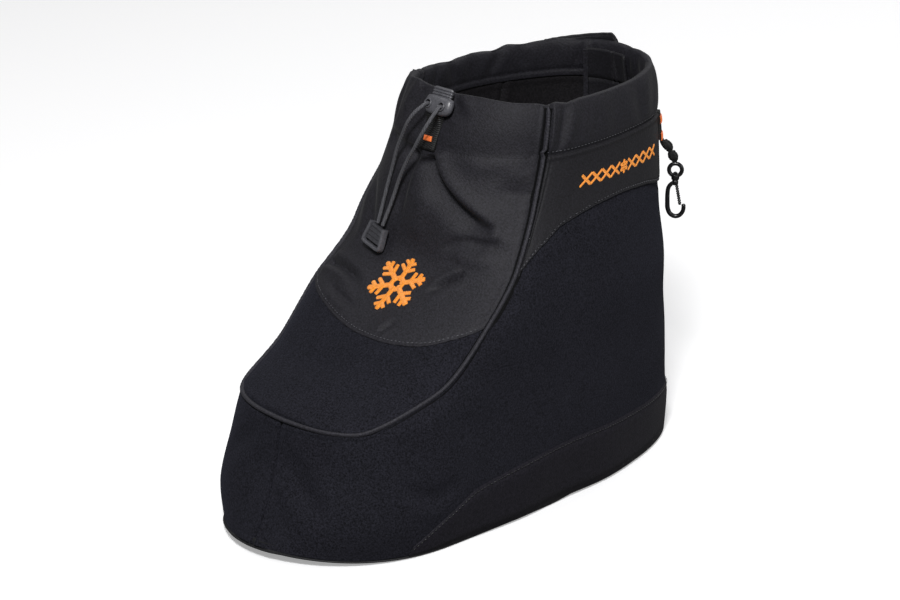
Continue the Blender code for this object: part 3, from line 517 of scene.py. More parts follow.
def addPiece(name, points, faces, material, uv=None, smooth=50, caps=()):
    points = np.asarray(points, float).reshape(-1, 3)
    mesh = bpy.data.meshes.new(name)
    rows = np.asarray(faces).tolist() + [list(cap) for cap in caps]
    mesh.from_pydata(points.tolist(), [], rows)
    if uv is not None:
        corner = np.zeros(len(mesh.loops), np.int32)
        mesh.loops.foreach_get("vertex_index", corner)
        layer = mesh.uv_layers.new(name="UVMap")
        layer.data.foreach_set("uv", np.asarray(uv, np.float32).reshape(-1, 2)[corner].ravel())
    mesh.materials.append(material)
    mesh.shade_smooth()
    mesh.set_sharp_from_angle(angle=math.radians(smooth))
    mesh.validate()
    piece = bpy.data.objects.new(name, mesh)
    bpy.context.scene.collection.objects.link(piece)
    return piece


def addGrid(name, points, material, wrapAcross=False, wrapUp=False, smooth=50):
    # a grid of points as one skin, its UV map in real metres along it
    faces = gridFaces(*points.shape[:2], wrapAcross, wrapUp)
    return addPiece(name, points, faces, material, np.stack(bothRuns(points), axis=-1), smooth)


def repeatFaces(one, size, count):
    # the faces of one part of size points, for count such parts one after another
    return (one[None] + size * np.arange(count)[:, None, None]).reshape(-1, 4)


def addTube(name, rings, material, smooth=50):
    # closed rings carried along a path, with flat ends. Its UV map counts 10 mm once round it.
    rings = np.asarray(rings, float)
    count, loop = rings.shape[:2]
    uv = np.stack(np.broadcast_arrays(np.arange(loop) / loop * 0.01, lengthsAlong(rings)), axis=-1)
    faces = gridFaces(count, loop, False, True)
    caps = [range(loop), range(count * loop - 1, (count - 1) * loop - 1, -1)]
    piece = addPiece(name, rings, faces, material, uv, smooth, caps)
    faceOut(piece)
    return piece


def faceOut(piece):
    # a closed mesh whose signed volume is negative is turned the right way out
    mesh = piece.data
    mesh.calc_loop_triangles()
    points = np.zeros(len(mesh.vertices) * 3)
    mesh.vertices.foreach_get("co", points)
    corners = np.zeros(len(mesh.loop_triangles) * 3, np.int32)
    mesh.loop_triangles.foreach_get("vertices", corners)
    a, b, c = np.moveaxis(points.reshape(-1, 3)[corners.reshape(-1, 3)], 1, 0)
    if np.sum(a * np.cross(b, c)) < 0:
        mesh.flip_normals()


def thicken(piece, thickness):
    # gives a skin its thickness, inwards
    layer = piece.modifiers.new("clothThickness", "SOLIDIFY")
    layer.thickness = thickness
    layer.offset = -1


def sweep(path, radii, sides=12, upward=(0, 0, 1)):
    # rings of a round rod: radius times cos along the side, plus sin along the other
    path = np.asarray(path, float)
    ahead = unit(np.gradient(path, axis=0))
    side = unit(np.cross(upward, ahead))
    other = np.cross(ahead, side)
    turn = ringTurn(sides)[:, None]
    radii = np.broadcast_to(radii, len(path))[:, None, None]
    return path[:, None] + radii * (side[:, None] * np.cos(turn) + other[:, None] * np.sin(turn))


def smoothRoute(points, count):
    # a cubic through each four neighbours, from the second to the third, resampled to even lengths
    points = np.asarray(points, float)
    ends = np.concatenate([2 * points[:1] - points[1:2], points, 2 * points[-1:] - points[-2:-1]])
    t = np.linspace(0, 1, 12, endpoint=False)[None, :, None]
    a, b, c, d = (ends[k:len(ends) - 3 + k][:, None] for k in range(4))
    bend, twist = 2 * a - 5 * b + 4 * c - d, 3 * b - a - 3 * c + d
    dense = 0.5 * (2 * b + (c - a) * t + bend * t ** 2 + twist * t ** 3)
    dense = np.concatenate([dense.reshape(-1, 3), points[-1:]])
    run = lengthsAlong(dense)
    stops = np.linspace(0, run[-1], count)
    return np.stack([np.interp(stops, run, dense[:, k]) for k in range(3)], axis=1)


def wear(piece, body, slot, *nodes):
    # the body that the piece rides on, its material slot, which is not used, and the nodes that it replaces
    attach(piece, body)
    if nodes:
        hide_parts(*nodes)
    return piece


# seams and panels
seams = {
    "raised": [(0.0, 0.307), (34.4, 0.312), (52.8, 0.392), (60.2, 0.582), (66.0, 0.775), (67.2, 0.925),
               (66.4, 1.000)],
    "vamp": [(-57.5, 0.508), (-44, 0.499), (-30, 0.486), (-15, 0.470), (0, 0.460), (14, 0.458), (31, 0.467),
             (43, 0.488), (50, 0.501), (57.8, 0.517)],
    "side": [(61.0, 0.604), (66, 0.630), (72, 0.655), (85, 0.690), (93, 0.712), (103, 0.731), (112, 0.736),
             (125, 0.727), (137, 0.708), (160, 0.692), (180, 0.687)],
    "toe": [(1.4, 0.0066), (1.4, 0.08), (0.5, 0.155), (-0.7, 0.23), (0.0, 0.307)],
    "heelBand": [(70.0, 0.030), (80.0, 0.092), (94.0, 0.141), (111.0, 0.163), (132.0, 0.148), (180.0, 0.130)],
}
cloth = {
    "thickness": 0.0013, "spacing": 0.0018, "fineSpacing": 0.00115, "tuck": 0.0027, "pucker": 0.00022,
    # the seams' grooves are shallow round the toe and reach their full depth past these angles
    "toeDepth": 0.35, "toeAngle": 34, "toeRun": 16,
}
# worked edges, each a bell beside the edge: rise, distance from the edge and half width
edgeBells = {
    "lip": (0.0005, 0.0055, 0.0028), "ridge": (0.0009, 0.0044, 0.0010), "hollow": (0.0005, 0.0064, 0.0010),
    "valley": (0.0018, 0.0, 0.0011), "banks": (0.0007, 0.0030, 0.0014), "step": (0.0004, 0.0021, 0.0008),
}


def raisedSeam(share):
    # angle and height along the raised seam, 0 at the toe and 1 at the collar, minus on the inner side
    rows = np.linspace(0, 1, len(seams["raised"]))
    table = np.array(seams["raised"])
    angle = np.sign(share) * smoothCurve(rows, table[:, 0], np.abs(share))
    return angle, smoothCurve(rows, table[:, 1], np.abs(share))


def raisedPart(low, high, side=1, count=24):
    # the raised seam between two heights, as a path
    share = np.linspace(0, 1, 600)
    angle, height = raisedSeam(np.interp(np.linspace(low, high, count), raisedSeam(share)[1], share))
    return np.stack([side * angle, height], axis=1)


def mirrored(path):
    # the same path on the other side of the foot, still running towards larger angles
    path = np.asarray(path, float)[::-1]
    return np.stack([360 - path[:, 0], path[:, 1]], axis=1)


def roundHeel(path):
    # a path of the outer side carried on over the heel by its own mirror image
    return np.concatenate([path, mirrored(path)[1:]])


def levelPath(height, start, end, count):
    # a path at one height between two angles
    return [(a, height) for a in np.linspace(start, end, count)]


def patchBetween(bottom, top, left, right, crowding=0.6, spacing=None):
    # a Coons patch of angles and heights: the two blends of facing edges, less the blend of corners
    spacing = spacing or cloth["spacing"]
    sizes = []
    for first, second in ((bottom, top), (left, right)):
        runs = [lengthsAlong(shellPoint(*evenPath(p, 60).T))[-1] for p in (first, second)]
        sizes.append(int(max(runs) / spacing) + 2)
    across, up = sizes
    bottom, top = evenPath(bottom, across, crowding), evenPath(top, across, crowding)
    left, right = evenPath(left, up, crowding), evenPath(right, up, crowding)
    u = crowded(np.linspace(0, 1, across), crowding)[:, None, None]
    v = crowded(np.linspace(0, 1, up), crowding)[None, :, None]
    corners = (
        (1 - u) * (1 - v) * bottom[0] + u * (1 - v) * bottom[-1] + (1 - u) * v * top[0] + u * v * top[-1])
    grid = (1 - v) * bottom[:, None] + v * top[:, None] + (1 - u) * left[None] + u * right[None] - corners
    return grid[..., 0], grid[..., 1]


def edgeShift(distance, run, kind, deep=1.0):
    # how far a panel stands off near one of its edges, by distance from it: the sum of its bells, a
    # groove that ends steeply, and the pucker of the stitches along run. deep scales the groove.
    def beside(name):
        rise, spot, half = edgeBells[name]
        return rise * bell(distance - spot, half)

    waves = np.sin(tau * run / 0.0074 + 3 * np.sin(tau * run / 0.05))
    pucker = cloth["pucker"] * np.exp(-distance / 0.006) * waves
    groove = -cloth["tuck"] * deep * bell(np.maximum(distance - 0.0020, 0), 0.0008, 3)
    if kind == "tucked":
        return pucker + groove + beside("lip")
    if kind in ("ridged", "ridgedSide"):
        return pucker + groove + deep * (beside("ridge") - beside("hollow"))
    if kind == "seam":
        return pucker + deep * (beside("banks") - beside("valley"))
    if kind == "lapped":
        edge = 0.0007 * np.clip(distance / 0.0007, 0, 1) ** 0.5 * bell(distance, 0.016)
        return pucker + edge - beside("step")
    if kind == "under":
        return -0.0006 * bell(distance, 0.006, 4)
    return 0 * distance


def grooveDeep(angle):
    # toeDepth at the toe, 1 along the sides
    past = softStep((np.abs(signedAngle(angle)) - cloth["toeAngle"]) / cloth["toeRun"])
    return cloth["toeDepth"] + (1 - cloth["toeDepth"]) * past


def makePanel(name, material, bottom, top, left, right, edges, slot="shell", spacing=None):
    # a cloth panel between four edge paths, on the shell, with its folds and its worked edges.
    # edges names the kind of its bottom, top, left and right edge. A top edge that runs along the
    # raised seam and then under another panel changes from one kind to the other at 61 degrees.
    angle, height = patchBetween(bottom, top, left, right, spacing=spacing)
    points, normals = shellPoint(angle, height), shellNormal(angle, height)
    acrossRun, upRun = bothRuns(points)
    shift = clothShift(points, normals)
    below = upRun[:, -1:] - upRun
    deep = grooveDeep(angle)
    if edges[1] == "ridged":
        onSeam = softStep((61.5 - np.minimum(angle[:, -1:] % 360, -angle[:, -1:] % 360)) / 1.5)
        shift = shift + onSeam * edgeShift(below, acrossRun, "ridged", deep)
        shift = shift + (1 - onSeam) * edgeShift(below, acrossRun, "under")
    else:
        shift = shift + edgeShift(below, acrossRun, edges[1], deep)
    shift = shift + edgeShift(upRun, acrossRun, edges[0], deep)
    for kind, away in zip(edges[2:], (acrossRun, acrossRun[-1:] - acrossRun)):
        shift = shift + edgeShift(away, upRun, kind, softStep(below / 0.005) if kind == "seam" else deep)
    panel = addGrid(name, points + normals * shift[..., None], material)
    thicken(panel, cloth["thickness"])
    return wear(panel, "overshoe", slot)


def makeUpper(fleece, softshell, shadedSideSoftshell):
    # two fleece sides, the fleece toe, and the woven front and back quarters above them
    foot, seamTop = shoe["foot"], shoe["casingSeam"]
    vamp, side, toe = (np.array(seams[name]) for name in ("vamp", "side", "toe"))
    fullSide = np.concatenate([raisedPart(0.307, 0.604), side[1:]])
    heel = [(180, foot), (180, 0.35), (180, 0.687)]
    outer = makePanel(
        "outerSidePanel", fleece, bottom=levelPath(foot, 4, 180, 12), top=fullSide, left=toe, right=heel,
        edges=("plain", "ridged", "seam", "seam"))
    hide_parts("upper")
    makePanel(
        "innerSidePanel", fleece, bottom=levelPath(foot, 180, 364, 12), top=mirrored(fullSide), left=heel,
        right=toe + (360, 0), edges=("plain", "ridged", "seam", "seam"))
    low, left, right = (
        np.stack(raisedSeam(np.linspace(*ends)), axis=1)
        for ends in ((-0.20, 0.20, 15), (-0.20, -0.4667, 9), (0.20, 0.4690, 9)))
    makePanel(
        "toePanel", fleece, bottom=low, top=vamp + (0, 0.016), left=left, right=right,
        edges=("tucked", "under", "tucked", "tucked"))
    makePanel(
        "frontPanel", softshell, bottom=vamp, top=levelPath(seamTop, -66.75, 66.75, 9),
        left=raisedPart(0.508, seamTop, -1), right=raisedPart(0.517, seamTop),
        edges=("lapped", "plain", "tucked", "tucked"), slot="woven", spacing=cloth["fineSpacing"])
    edge = raisedPart(0.604, seamTop)
    makePanel(
        "quarterPanel", shadedSideSoftshell, bottom=roundHeel(side), top=levelPath(seamTop, 66.75, 293.25, 17),
        left=edge, right=mirrored(edge)[::-1],
        edges=("lapped", "seam", "ridgedSide", "ridgedSide"), slot="woven")


# collar
collar = {
    # up the outside of the casing, over the rim and down its inside: height, stand-off at the
    # sides and back, stand-off in front, extra rise
    "profile": [
        (0.874, -0.0012, 0.0001, 0), (0.881, -0.0004, 0.0002, 0), (0.888, 0.0008, 0.0004, 0),
        (0.905, 0.0015, 0.0008, 0), (0.940, 0.0018, 0.0014, 0), (0.975, 0.0015, 0.0012, 0),
        (0.993, 0.0008, 0.0006, 0), (1.0, -0.0002, -0.0002, 0.0006), (1.0, -0.0020, -0.0020, 0.0013),
        (1.0, -0.0040, -0.0040, 0.0008), (0.990, -0.0054, -0.0054, 0), (0.965, -0.0060, -0.0060, 0),
        (0.938, -0.0058, -0.0058, 0), (0.924, -0.0049, -0.0049, 0), (0.916, -0.0055, -0.0055, 0),
        (0.908, -0.0054, -0.0054, 0), (0.903, -0.0040, -0.0040, 0), (0.899, -0.0027, -0.0027, 0)],
    # gathers of the drawcord: angle, depth in mm, lean in degrees, half width in degrees
    "gathers": [
        (-162, 1.0, 4, 2.6), (-151, 1.8, -4, 2.2), (-140, 0.9, 3, 2.5), (-128, 1.7, 5, 2.4),
        (-114, 2.2, -4, 2.2), (-106, 0.9, 3, 2.4), (-98, 2.0, 5, 2.4), (-86, 1.2, -3, 2.6),
        (-74, 1.7, 4, 2.4), (-63, 1.0, -4, 2.2), (-50, 1.2, 4, 3.0), (-38, 0.8, -3, 3.4),
        (77.5, 2.3, 3, 3.9), (90, 0.5, 3, 3.4), (96, 0.7, -4, 4.0), (108, 0.6, 3, 4.5),
        (121, 0.9, -3, 3.6), (133, 0.7, 4, 4.0), (147, 1.1, -4, 3.4), (158, 0.8, 3, 3.4),
        (170, 1.2, -3, 3.0)],
    # how the rim's height wanders: angle and mm
    "rim": [
        (-180, 0), (-151, -0.9), (-140, 0.3), (-128, -1.0), (-121, 0.2), (-114, -2.0), (-106, -0.6),
        (-98, -2.2), (-86, -1.2), (-74, -2.0), (-60, -1.2), (-46, -1.2), (-34, 0.5), (-25, 1.3),
        (-17, 0.0), (-8, -0.6), (0, -0.2), (8, -0.9), (14, -0.4), (26, 0.3), (44, -0.3), (60, 0.1),
        (66.6, -1.2), (73, 0.7), (83, -1.1), (92, 0.2), (108, -0.2), (121, -0.7), (133, 0.2), (147, -0.6),
        (158, 0.2), (170, -0.6), (180, 0)],
    "around": 620, "up": 64,
    # where the piping crosses the casing, and the groove and bank beside it: depth, distance, half
    "seamAngle": 66.8, "radius": 0.069,
    "seamGroove": (0.0016, 0.0022, 0.0009), "seamBank": (-0.0009, 0.0046, 0.0011),
}


def makeCollar(softshell):
    # a closed tube of cloth: the profile carried round, gathered by the drawcord into folds of
    # -depth exp(-(angle from the fold / half)^2) that fade at the casing's seams
    table = np.array(collar["profile"])
    rows = np.arange(len(table))
    fine = np.linspace(0, len(table) - 1, collar["up"])
    height, sideOut, frontOut, rise = (smoothCurve(rows, table[:, k], fine)[None] for k in range(4))
    angle = (np.arange(collar["around"]) * 360 / collar["around"])[:, None]
    signed = signedAngle(angle)
    inFront = softStep((66.5 - np.abs(signed)) / 3)
    out = sideOut + (frontOut - sideOut) * inFront
    points, normals = shellPoint(angle, height), shellNormal(angle, np.minimum(height, 0.985))
    tall = np.clip((height - 0.885) / 0.115, 0, 1)
    inside = out < -0.003
    swell = np.sin(np.pi * np.clip(tall * 1.04, 0, 1)) ** 0.5 * (1 - 0.35 * inside) + 0.45 * tall ** 6
    gather = np.zeros(points.shape[:2])
    for spot, depth, lean, half in collar["gathers"]:
        away = signedAngle(signed - spot - lean * (tall - 0.5))
        width = half * (0.55 + 0.45 * tall)
        gather = gather - depth * (bell(away, width) - 0.35 * bell(np.abs(away) - 2.1 * width, width))
    hem = np.where(fine[None] > 8.5, softStep((height - 0.915) / 0.05), 1.0)
    gather = gather * swell * hem / 1000
    for side in (1, -1):
        away = np.abs(np.radians(signed - side * collar["seamAngle"]) * collar["radius"])
        for depth, spot, half in (collar["seamGroove"], collar["seamBank"]):
            gather = gather - depth * bell(away - spot, half) * ~inside
    shift = out + np.where(inside, -gather, gather) + foldShift(points, normals) + billowShift(points)
    wander = np.array(collar["rim"])
    lift = np.interp(signed, wander[:, 0], wander[:, 1] / 1000) * tall ** 3
    points = points + normals * shift[..., None] + np.array([0, 0, 1]) * (rise + lift)[..., None]
    wear(addGrid("collarCasing", points, softshell, wrapAcross=True, wrapUp=True), "overshoe", "woven")


lining = {
    "around": 300, "up": 110, "out": -0.0034, "thickness": 0.0007, "radius": 0.07,
    "seamAngles": (67, 120, 240, 293), "seamDepth": 0.0014, "hem": (0.0009, 0.897, 0.006),
}


def makeLining(material):
    # the inside skin from the casing's inner seam down to the footbed, a wall in from the outside
    height = np.linspace(0.912, 0.024, lining["up"])[None]
    angle = (np.arange(lining["around"]) * 360 / lining["around"])[:, None]
    points, normals = shellPoint(angle, height), shellNormal(angle, height)
    shift = clothShift(points, normals) + lining["out"]
    for seam in lining["seamAngles"]:
        away = np.radians(signedAngle(angle - seam)) * lining["radius"]
        banks = 0.7 * bell(np.abs(away) - 0.0022, 0.0012)
        shift = shift - lining["seamDepth"] * (banks - bell(away, 0.0008)) * (height > 0.4)
    depth, spot, half = lining["hem"]
    shift = shift - depth * bell(height - spot, half)
    piece = addGrid("liningSkin", points + normals * shift[..., None], material, wrapAcross=True)
    thicken(piece, lining["thickness"])
    wear(piece, "overshoe", "lining")


# bindings, tapes and webbing
def stripOnShell(name, material, route, width, thick, out, crown=0.25, across=9, slot="woven"):
    # a strap carried along a path of angles and heights: a flat section with rounded edges, crowned
    # by crown times its thickness, lying out metres off the cloth
    angle, height = np.asarray(route, float).T
    base, normals = onCloth(angle, height, out)
    side = unit(np.cross(unit(np.gradient(base, axis=0)), normals))
    s = np.linspace(-1, 1, across)
    top = thick * (0.45 * (1 - np.abs(s) ** 6) ** 0.5 + 0.55 + crown * (1 - s ** 2))
    beside = np.concatenate([s, s[::-1]]) * width / 2
    above = np.concatenate([top, 0 * top])
    rings = base[:, None] + beside[:, None] * side[:, None] + above[:, None] * normals[:, None]
    return wear(addTube(name, rings, material, smooth=60), "overshoe", slot)


piping = {
    "width": 0.0029, "rise": 0.0021, "sunk": 0.0014, "sides": 14, "steps": 680, "end": 0.992,
    # how far it lifts to cross the casing's seam, over which share of the height, and the step aside
    "casing": 0.0011, "casingRun": 0.012, "kink": 0.0015,
    "flange": 0.0064, "flangeThick": 0.0006, "flangeSteps": 460, "flangeEnd": 0.985,
    "flangeSunk": (0.0019, 0.0012),
}


def makePiping(material, shadeFlangeTape):
    # cord covered in cloth: a half round sunk between the panels, carried along the raised seam up
    # to the rim, whose cover wrinkles across it every 2 mm or so
    share = np.linspace(-piping["end"], piping["end"], piping["steps"])
    angle, height = raisedSeam(share)
    onCasing = softStep((height - shoe["casingSeam"]) / piping["casingRun"])
    base, normals = onCloth(angle, height, piping["casing"] * onCasing - piping["sunk"])
    run = lengthsAlong(base)
    side = unit(np.cross(np.gradient(base, axis=0), normals))
    wave = np.sin(ringTurn(piping["sides"]))
    small = np.clip(np.minimum(run, run[-1] - run) / 0.003, 0.25, 1) ** 0.5
    wrinkle = small * (1 + 0.03 * np.sin(tau * run / 0.0021 + 2 * np.sin(tau * run / 0.013)))
    kink = -piping["kink"] * bell(height - shoe["casingSeam"] - 0.004, 0.006) * np.sign(share)
    across = piping["width"] / 2 * wrinkle[:, None] * np.cos(ringTurn(piping["sides"])) + kink[:, None]
    tall = (piping["sunk"] + piping["rise"]) * wrinkle[:, None]
    high = tall * np.where(wave > 0, np.abs(wave) ** 0.8, 0.4 * wave)
    rings = base[:, None] + across[..., None] * side[:, None] + high[..., None] * normals[:, None]
    wear(addTube("pipingCord", rings, material, smooth=60), "overshoe", "woven", "piping")
    # its flange, a flat tape sewn between the panels and coloured near black: painted shade, so that the
    # grooves beside the piping show as a dark line each side
    route = np.stack(raisedSeam(np.linspace(-1, 1, piping["flangeSteps"]) * piping["flangeEnd"]), axis=1)
    atToe, atSides = piping["flangeSunk"]
    past = softStep((np.abs(route[:, 0]) - cloth["toeAngle"]) / cloth["toeRun"])
    lift = piping["casing"] * softStep((route[:, 1] - shoe["casingSeam"]) / piping["casingRun"])
    out = lift - atToe + atSides * past
    stripOnShell("pipingFlangeShade", shadeFlangeTape, route, piping["flange"], piping["flangeThick"], out, crown=0.0)


heelBand = {"angles": (70, 290), "crowding": 0.3, "out": 0.0004, "thick": 0.0009}


def makeHeelBand(material):
    # a low band of woven cloth whose upper edge is turned in and stitched down
    start, end = heelBand["angles"]
    foot, low = shoe["foot"], seams["heelBand"][0][1]
    angle, height = patchBetween(
        levelPath(foot, start, end, 15), roundHeel(seams["heelBand"]), [(start, foot), (start, low)],
        [(end, foot), (end, low)], heelBand["crowding"])
    points, normals = shellPoint(angle, height), shellNormal(angle, height)
    acrossRun, upRun = bothRuns(points)
    worked = edgeShift(upRun[:, -1:] - upRun, acrossRun, "lapped")
    shift = clothShift(points, normals) + heelBand["out"] + worked
    piece = addGrid("heelWrap", points + normals * shift[..., None], material)
    thicken(piece, heelBand["thick"])
    wear(piece, "overshoe", "woven", "heel_band")


flap = {
    "angles": (184.0, 224.0), "bottom": 0.352, "peak": 0.0062, "corner": 0.16, "cornerDrop": 0.004,
    "thick": 0.0018, "out": 0.0006, "across": 60, "up": 130,
}


def makeRearFlap(material):
    # the closure's outer layer. Its top edge stands above the collar and falls away from a
    # rounded corner: rise = peak (1.05 - share) r - drop (1 - r), r = sqrt(1 - (1 - share/corner)^2)
    start, end = flap["angles"]
    share = crowded(np.linspace(0, 1, flap["across"]), 0.6)
    rows = crowded(np.linspace(0, 1, flap["up"]), 0.5)
    angle = (start + share * (end - start))[:, None]
    height = (flap["bottom"] + rows * (1 - flap["bottom"]))[None]
    rounded = np.sqrt(1 - (1 - np.minimum(share / flap["corner"], 1)) ** 2)[:, None]
    rise = flap["peak"] * (1.05 - share[:, None]) * rounded - flap["cornerDrop"] * (1 - rounded)
    points, normals = shellPoint(angle, height), shellNormal(angle, np.minimum(height, 0.985))
    acrossRun, upRun = bothRuns(points)
    shift = billowShift(points) + flap["out"]
    for away, run in ((upRun[:, -1:] - upRun, acrossRun), (upRun, acrossRun), (acrossRun, upRun),
                      (acrossRun[-1:] - acrossRun, upRun)):
        shift = shift + edgeShift(away, run, "lapped")
    lifted = rise * np.clip((rows - 0.88) / 0.12, 0, 1)[None] ** 1.5
    points = points + normals * shift[..., None] + np.array([0, 0, 1]) * lifted[..., None]
    piece = addGrid("closureFlap", points, material)
    thicken(piece, flap["thick"])
    wear(piece, "overshoe", "woven", "rear_flap")


closure = {
    "edgeAngle": 203.0, "slitAngle": 167.0, "high": 0.985, "low": 0.42, "in": 0.0078, "slit": 0.0034,
    "thick": 0.0012, "pleat": (0.0014, 0.0011), "hem": (0.0016, 0.905, 0.0035), "below": 0.0012,
    "bindingWidth": 0.0032, "bindingThick": 0.0013, "bindingIn": 0.0092,
}


def makeClosureInside(softshell, binding):
    # the underlap inside the closure: its bound edge, its panel with a pleat, and the free edge
    # that leaves a dark slit beside the outer wall
    start, end = closure["slitAngle"], closure["edgeAngle"]
    share = np.linspace(0, 1, 70)[:, None]
    angle = start + share * (end - start)
    height = (closure["high"] + (closure["low"] - closure["high"]) * np.linspace(0, 1, 110))[None]
    points, normals = shellPoint(angle, height), shellNormal(angle, height)
    shift = clothShift(points, normals) - closure["in"] - closure["slit"] * bell(share, 0.10)
    pleat = np.abs((share - 0.42) * 0.085) - 0.0003 - 0.0594 * (closure["high"] - height)
    rise, half = closure["pleat"]
    shift = shift + rise * bell(pleat, half) * (height > 0.90)
    rise, hem, half = closure["hem"]
    shift = shift + rise * bell(height - hem, half) + closure["below"] * (height < hem)
    panel = addGrid("closureUnderlap", points + normals * shift[..., None], softshell)
    thicken(panel, closure["thick"])
    wear(panel, "overshoe", "woven")
    route = np.linspace((end, 0.982), (end, closure["low"]), 60)
    stripOnShell("closureBinding", binding, route, closure["bindingWidth"], closure["bindingThick"],
                 -closure["bindingIn"], slot="lining")


# sole and footbed
sole = {
    "thick": 0.005, "toeLedge": 0.0005,
    "edge": [(0.0022, 1), (0.0022, 0.36), (0.0001, 0.30), (-0.0002, 0.20), (0.0002, 0.06), (0.0010, 0)],
    "archRise": 0.0015, "archCentre": 0.042, "archHalf": 0.030,
    "grooveWidth": 0.0036, "grooveDepth": 0.0014, "forefoot": (-0.146, 6, 0.020), "heel": (0.088, 4, 0.020),
    "grooveWall": 0.0004, "stations": 320, "studPitch": 0.0052, "studRadius": 0.0013, "studTall": 0.0004,
    "studSides": 10, "studRows": 34, "studColumns": 16, "studInset": 0.005,
}


def halfWidth(y, height, out):
    # the half width at each y of the shoe's outline at this height, out metres outside it, and
    # where that outline starts and ends
    angle = np.linspace(0, 180, 721)
    outline = shellPoint(angle, height) + shellNormal(angle, height) * out
    return np.interp(y, outline[:, 1], outline[:, 0]), outline[0, 1], outline[-1, 1]


def groovePlaces():
    # the middles of the grooves, under the forefoot and then under the heel
    return np.concatenate([
        start + pitch * np.arange(count) for start, count, pitch in (sole["forefoot"], sole["heel"])])


def archDepth(y):
    # how far the arch raises the underside, by a cosine
    middle = 0.5 + 0.5 * np.cos(np.pi * np.minimum(np.abs(y - sole["archCentre"]) / sole["archHalf"], 1))
    return sole["archRise"] * middle


def grooveDepth(y):
    # how deep the cross grooves are at y, with steep walls: full depth within half a width of each
    away = np.abs(np.asarray(y)[:, None] - groovePlaces()).min(axis=1)
    return sole["grooveDepth"] * np.clip((sole["grooveWidth"] / 2 - away) / sole["grooveWall"] + 0.5, 0, 1)


def makeSole(rubber):
    # cross sections from toe to heel: flat top, the edge's steps as (inset, share of the
    # thickness), and an underside with the arch and grooves
    _, toe, heel = halfWidth(np.zeros(1), 0.0, 0.0)
    t = np.linspace(0, np.pi, sole["stations"])
    y = (toe + heel) / 2 - (heel - toe) / 2 * np.cos(t) * 0.99998
    wide, wall = sole["grooveWidth"] / 2, sole["grooveWall"] / 2
    walls = [side * (wide + nudge) for side in (-1, 1) for nudge in (-wall, wall)]
    y = np.sort(np.concatenate([y, *(groovePlaces() + wall for wall in walls)]))
    half = np.maximum(halfWidth(y, 0.0, 0.0)[0], 0.0009)
    ledge = sole["toeLedge"] * softStep((-0.04 - y) / 0.11)
    bottom = springRise(y, 0.0) + archDepth(y)
    # the wall above the lip keeps under the cloth, which slopes back at the toe
    topHalf = np.minimum(halfWidth(y, sole["thick"] / shoe["height"], -0.0006)[0], half)
    top = sole["thick"] + springRise(y, sole["thick"] / shoe["height"])
    top = bottom + (top - bottom) * (0.32 + 0.68 * softStep(topHalf / 0.012))
    insets, shares = np.array(sole["edge"]).T
    edge = np.where(shares > 0.35, topHalf[:, None], half[:, None]) - insets
    edge = np.maximum(edge + ledge[:, None] * (insets < 0.001), 0.0004)
    edge = np.where(half[:, None] < 0.003, half[:, None] * (1 - 0.3 * (insets > 0.001)), edge)
    level = bottom[:, None] + (top - bottom)[:, None] * shares
    s = np.sin(np.linspace(-1, 1, 33) * np.pi / 2)
    x = np.concatenate([edge[:, :1] * s, edge[:, 1:-1], edge[:, -1:] * s[::-1], -edge[:, -2:0:-1]], axis=1)
    under = bottom[:, None] + grooveDepth(y)[:, None] * softStep((0.97 - np.abs(s)) / 0.05)
    z = np.concatenate([top[:, None] + 0 * under, level[:, 1:-1], under, level[:, -2:0:-1]], axis=1)
    rings = np.stack([x, np.broadcast_to(y[:, None], x.shape), z], axis=-1)
    wear(addTube("soleSheet", rings, rubber, smooth=35), "overshoe", "sole", "outsole")
    makeStuds(rubber)


def makeStuds(rubber):
    # small round studs in a staggered grid on the lugs, its rows sqrt(3)/2 pitches apart. Each is a
    # low dome of rings of (radius, level), which starts a little way up inside the sole.
    pitch, columns, rows, sides = (sole["stud" + name] for name in ("Pitch", "Columns", "Rows", "Sides"))
    grid = np.array([(i * pitch + (j % 2) * pitch / 2, j * pitch * 0.866)
                     for i in range(-columns, columns + 1) for j in range(-rows, rows + 1)])
    half = halfWidth(grid[:, 1], 0.0, -sole["studInset"])[0]
    flat = archDepth(grid[:, 1]) + grooveDepth(grid[:, 1] - 0.0019) + grooveDepth(grid[:, 1] + 0.0019)
    keep = (np.abs(grid[:, 0]) < half) & (flat < 0.00002) & (springRise(grid[:, 1], 0.0) > sole["studTall"])
    grid = grid[keep]
    turn = ringTurn(sides)
    wide, tall = sole["studRadius"], sole["studTall"]
    rings = [(wide, 0.0003), (wide, 0.0), (wide * 0.6, -tall), (1e-5, -tall)]
    base = springRise(grid[:, 1:], 0.0)
    points = np.stack([np.stack(np.broadcast_arrays(
        grid[:, :1] + radius * np.cos(turn), grid[:, 1:] + radius * np.sin(turn), base + level), axis=-1)
        for radius, level in rings], axis=1)
    faces = repeatFaces(gridFaces(len(rings), sides, False, True), len(rings) * sides, len(grid))
    wear(addPiece("soleStuds", points, faces[:, ::-1], rubber, smooth=30), "overshoe", "sole")


footbed = {
    "level": 0.030, "inset": 0.0042, "floor": 0.0054, "thick": 0.004, "crown": 0.0007,
    "channel": 0.0006, "channelPitch": 0.022, "channelHalf": 0.0011,
}


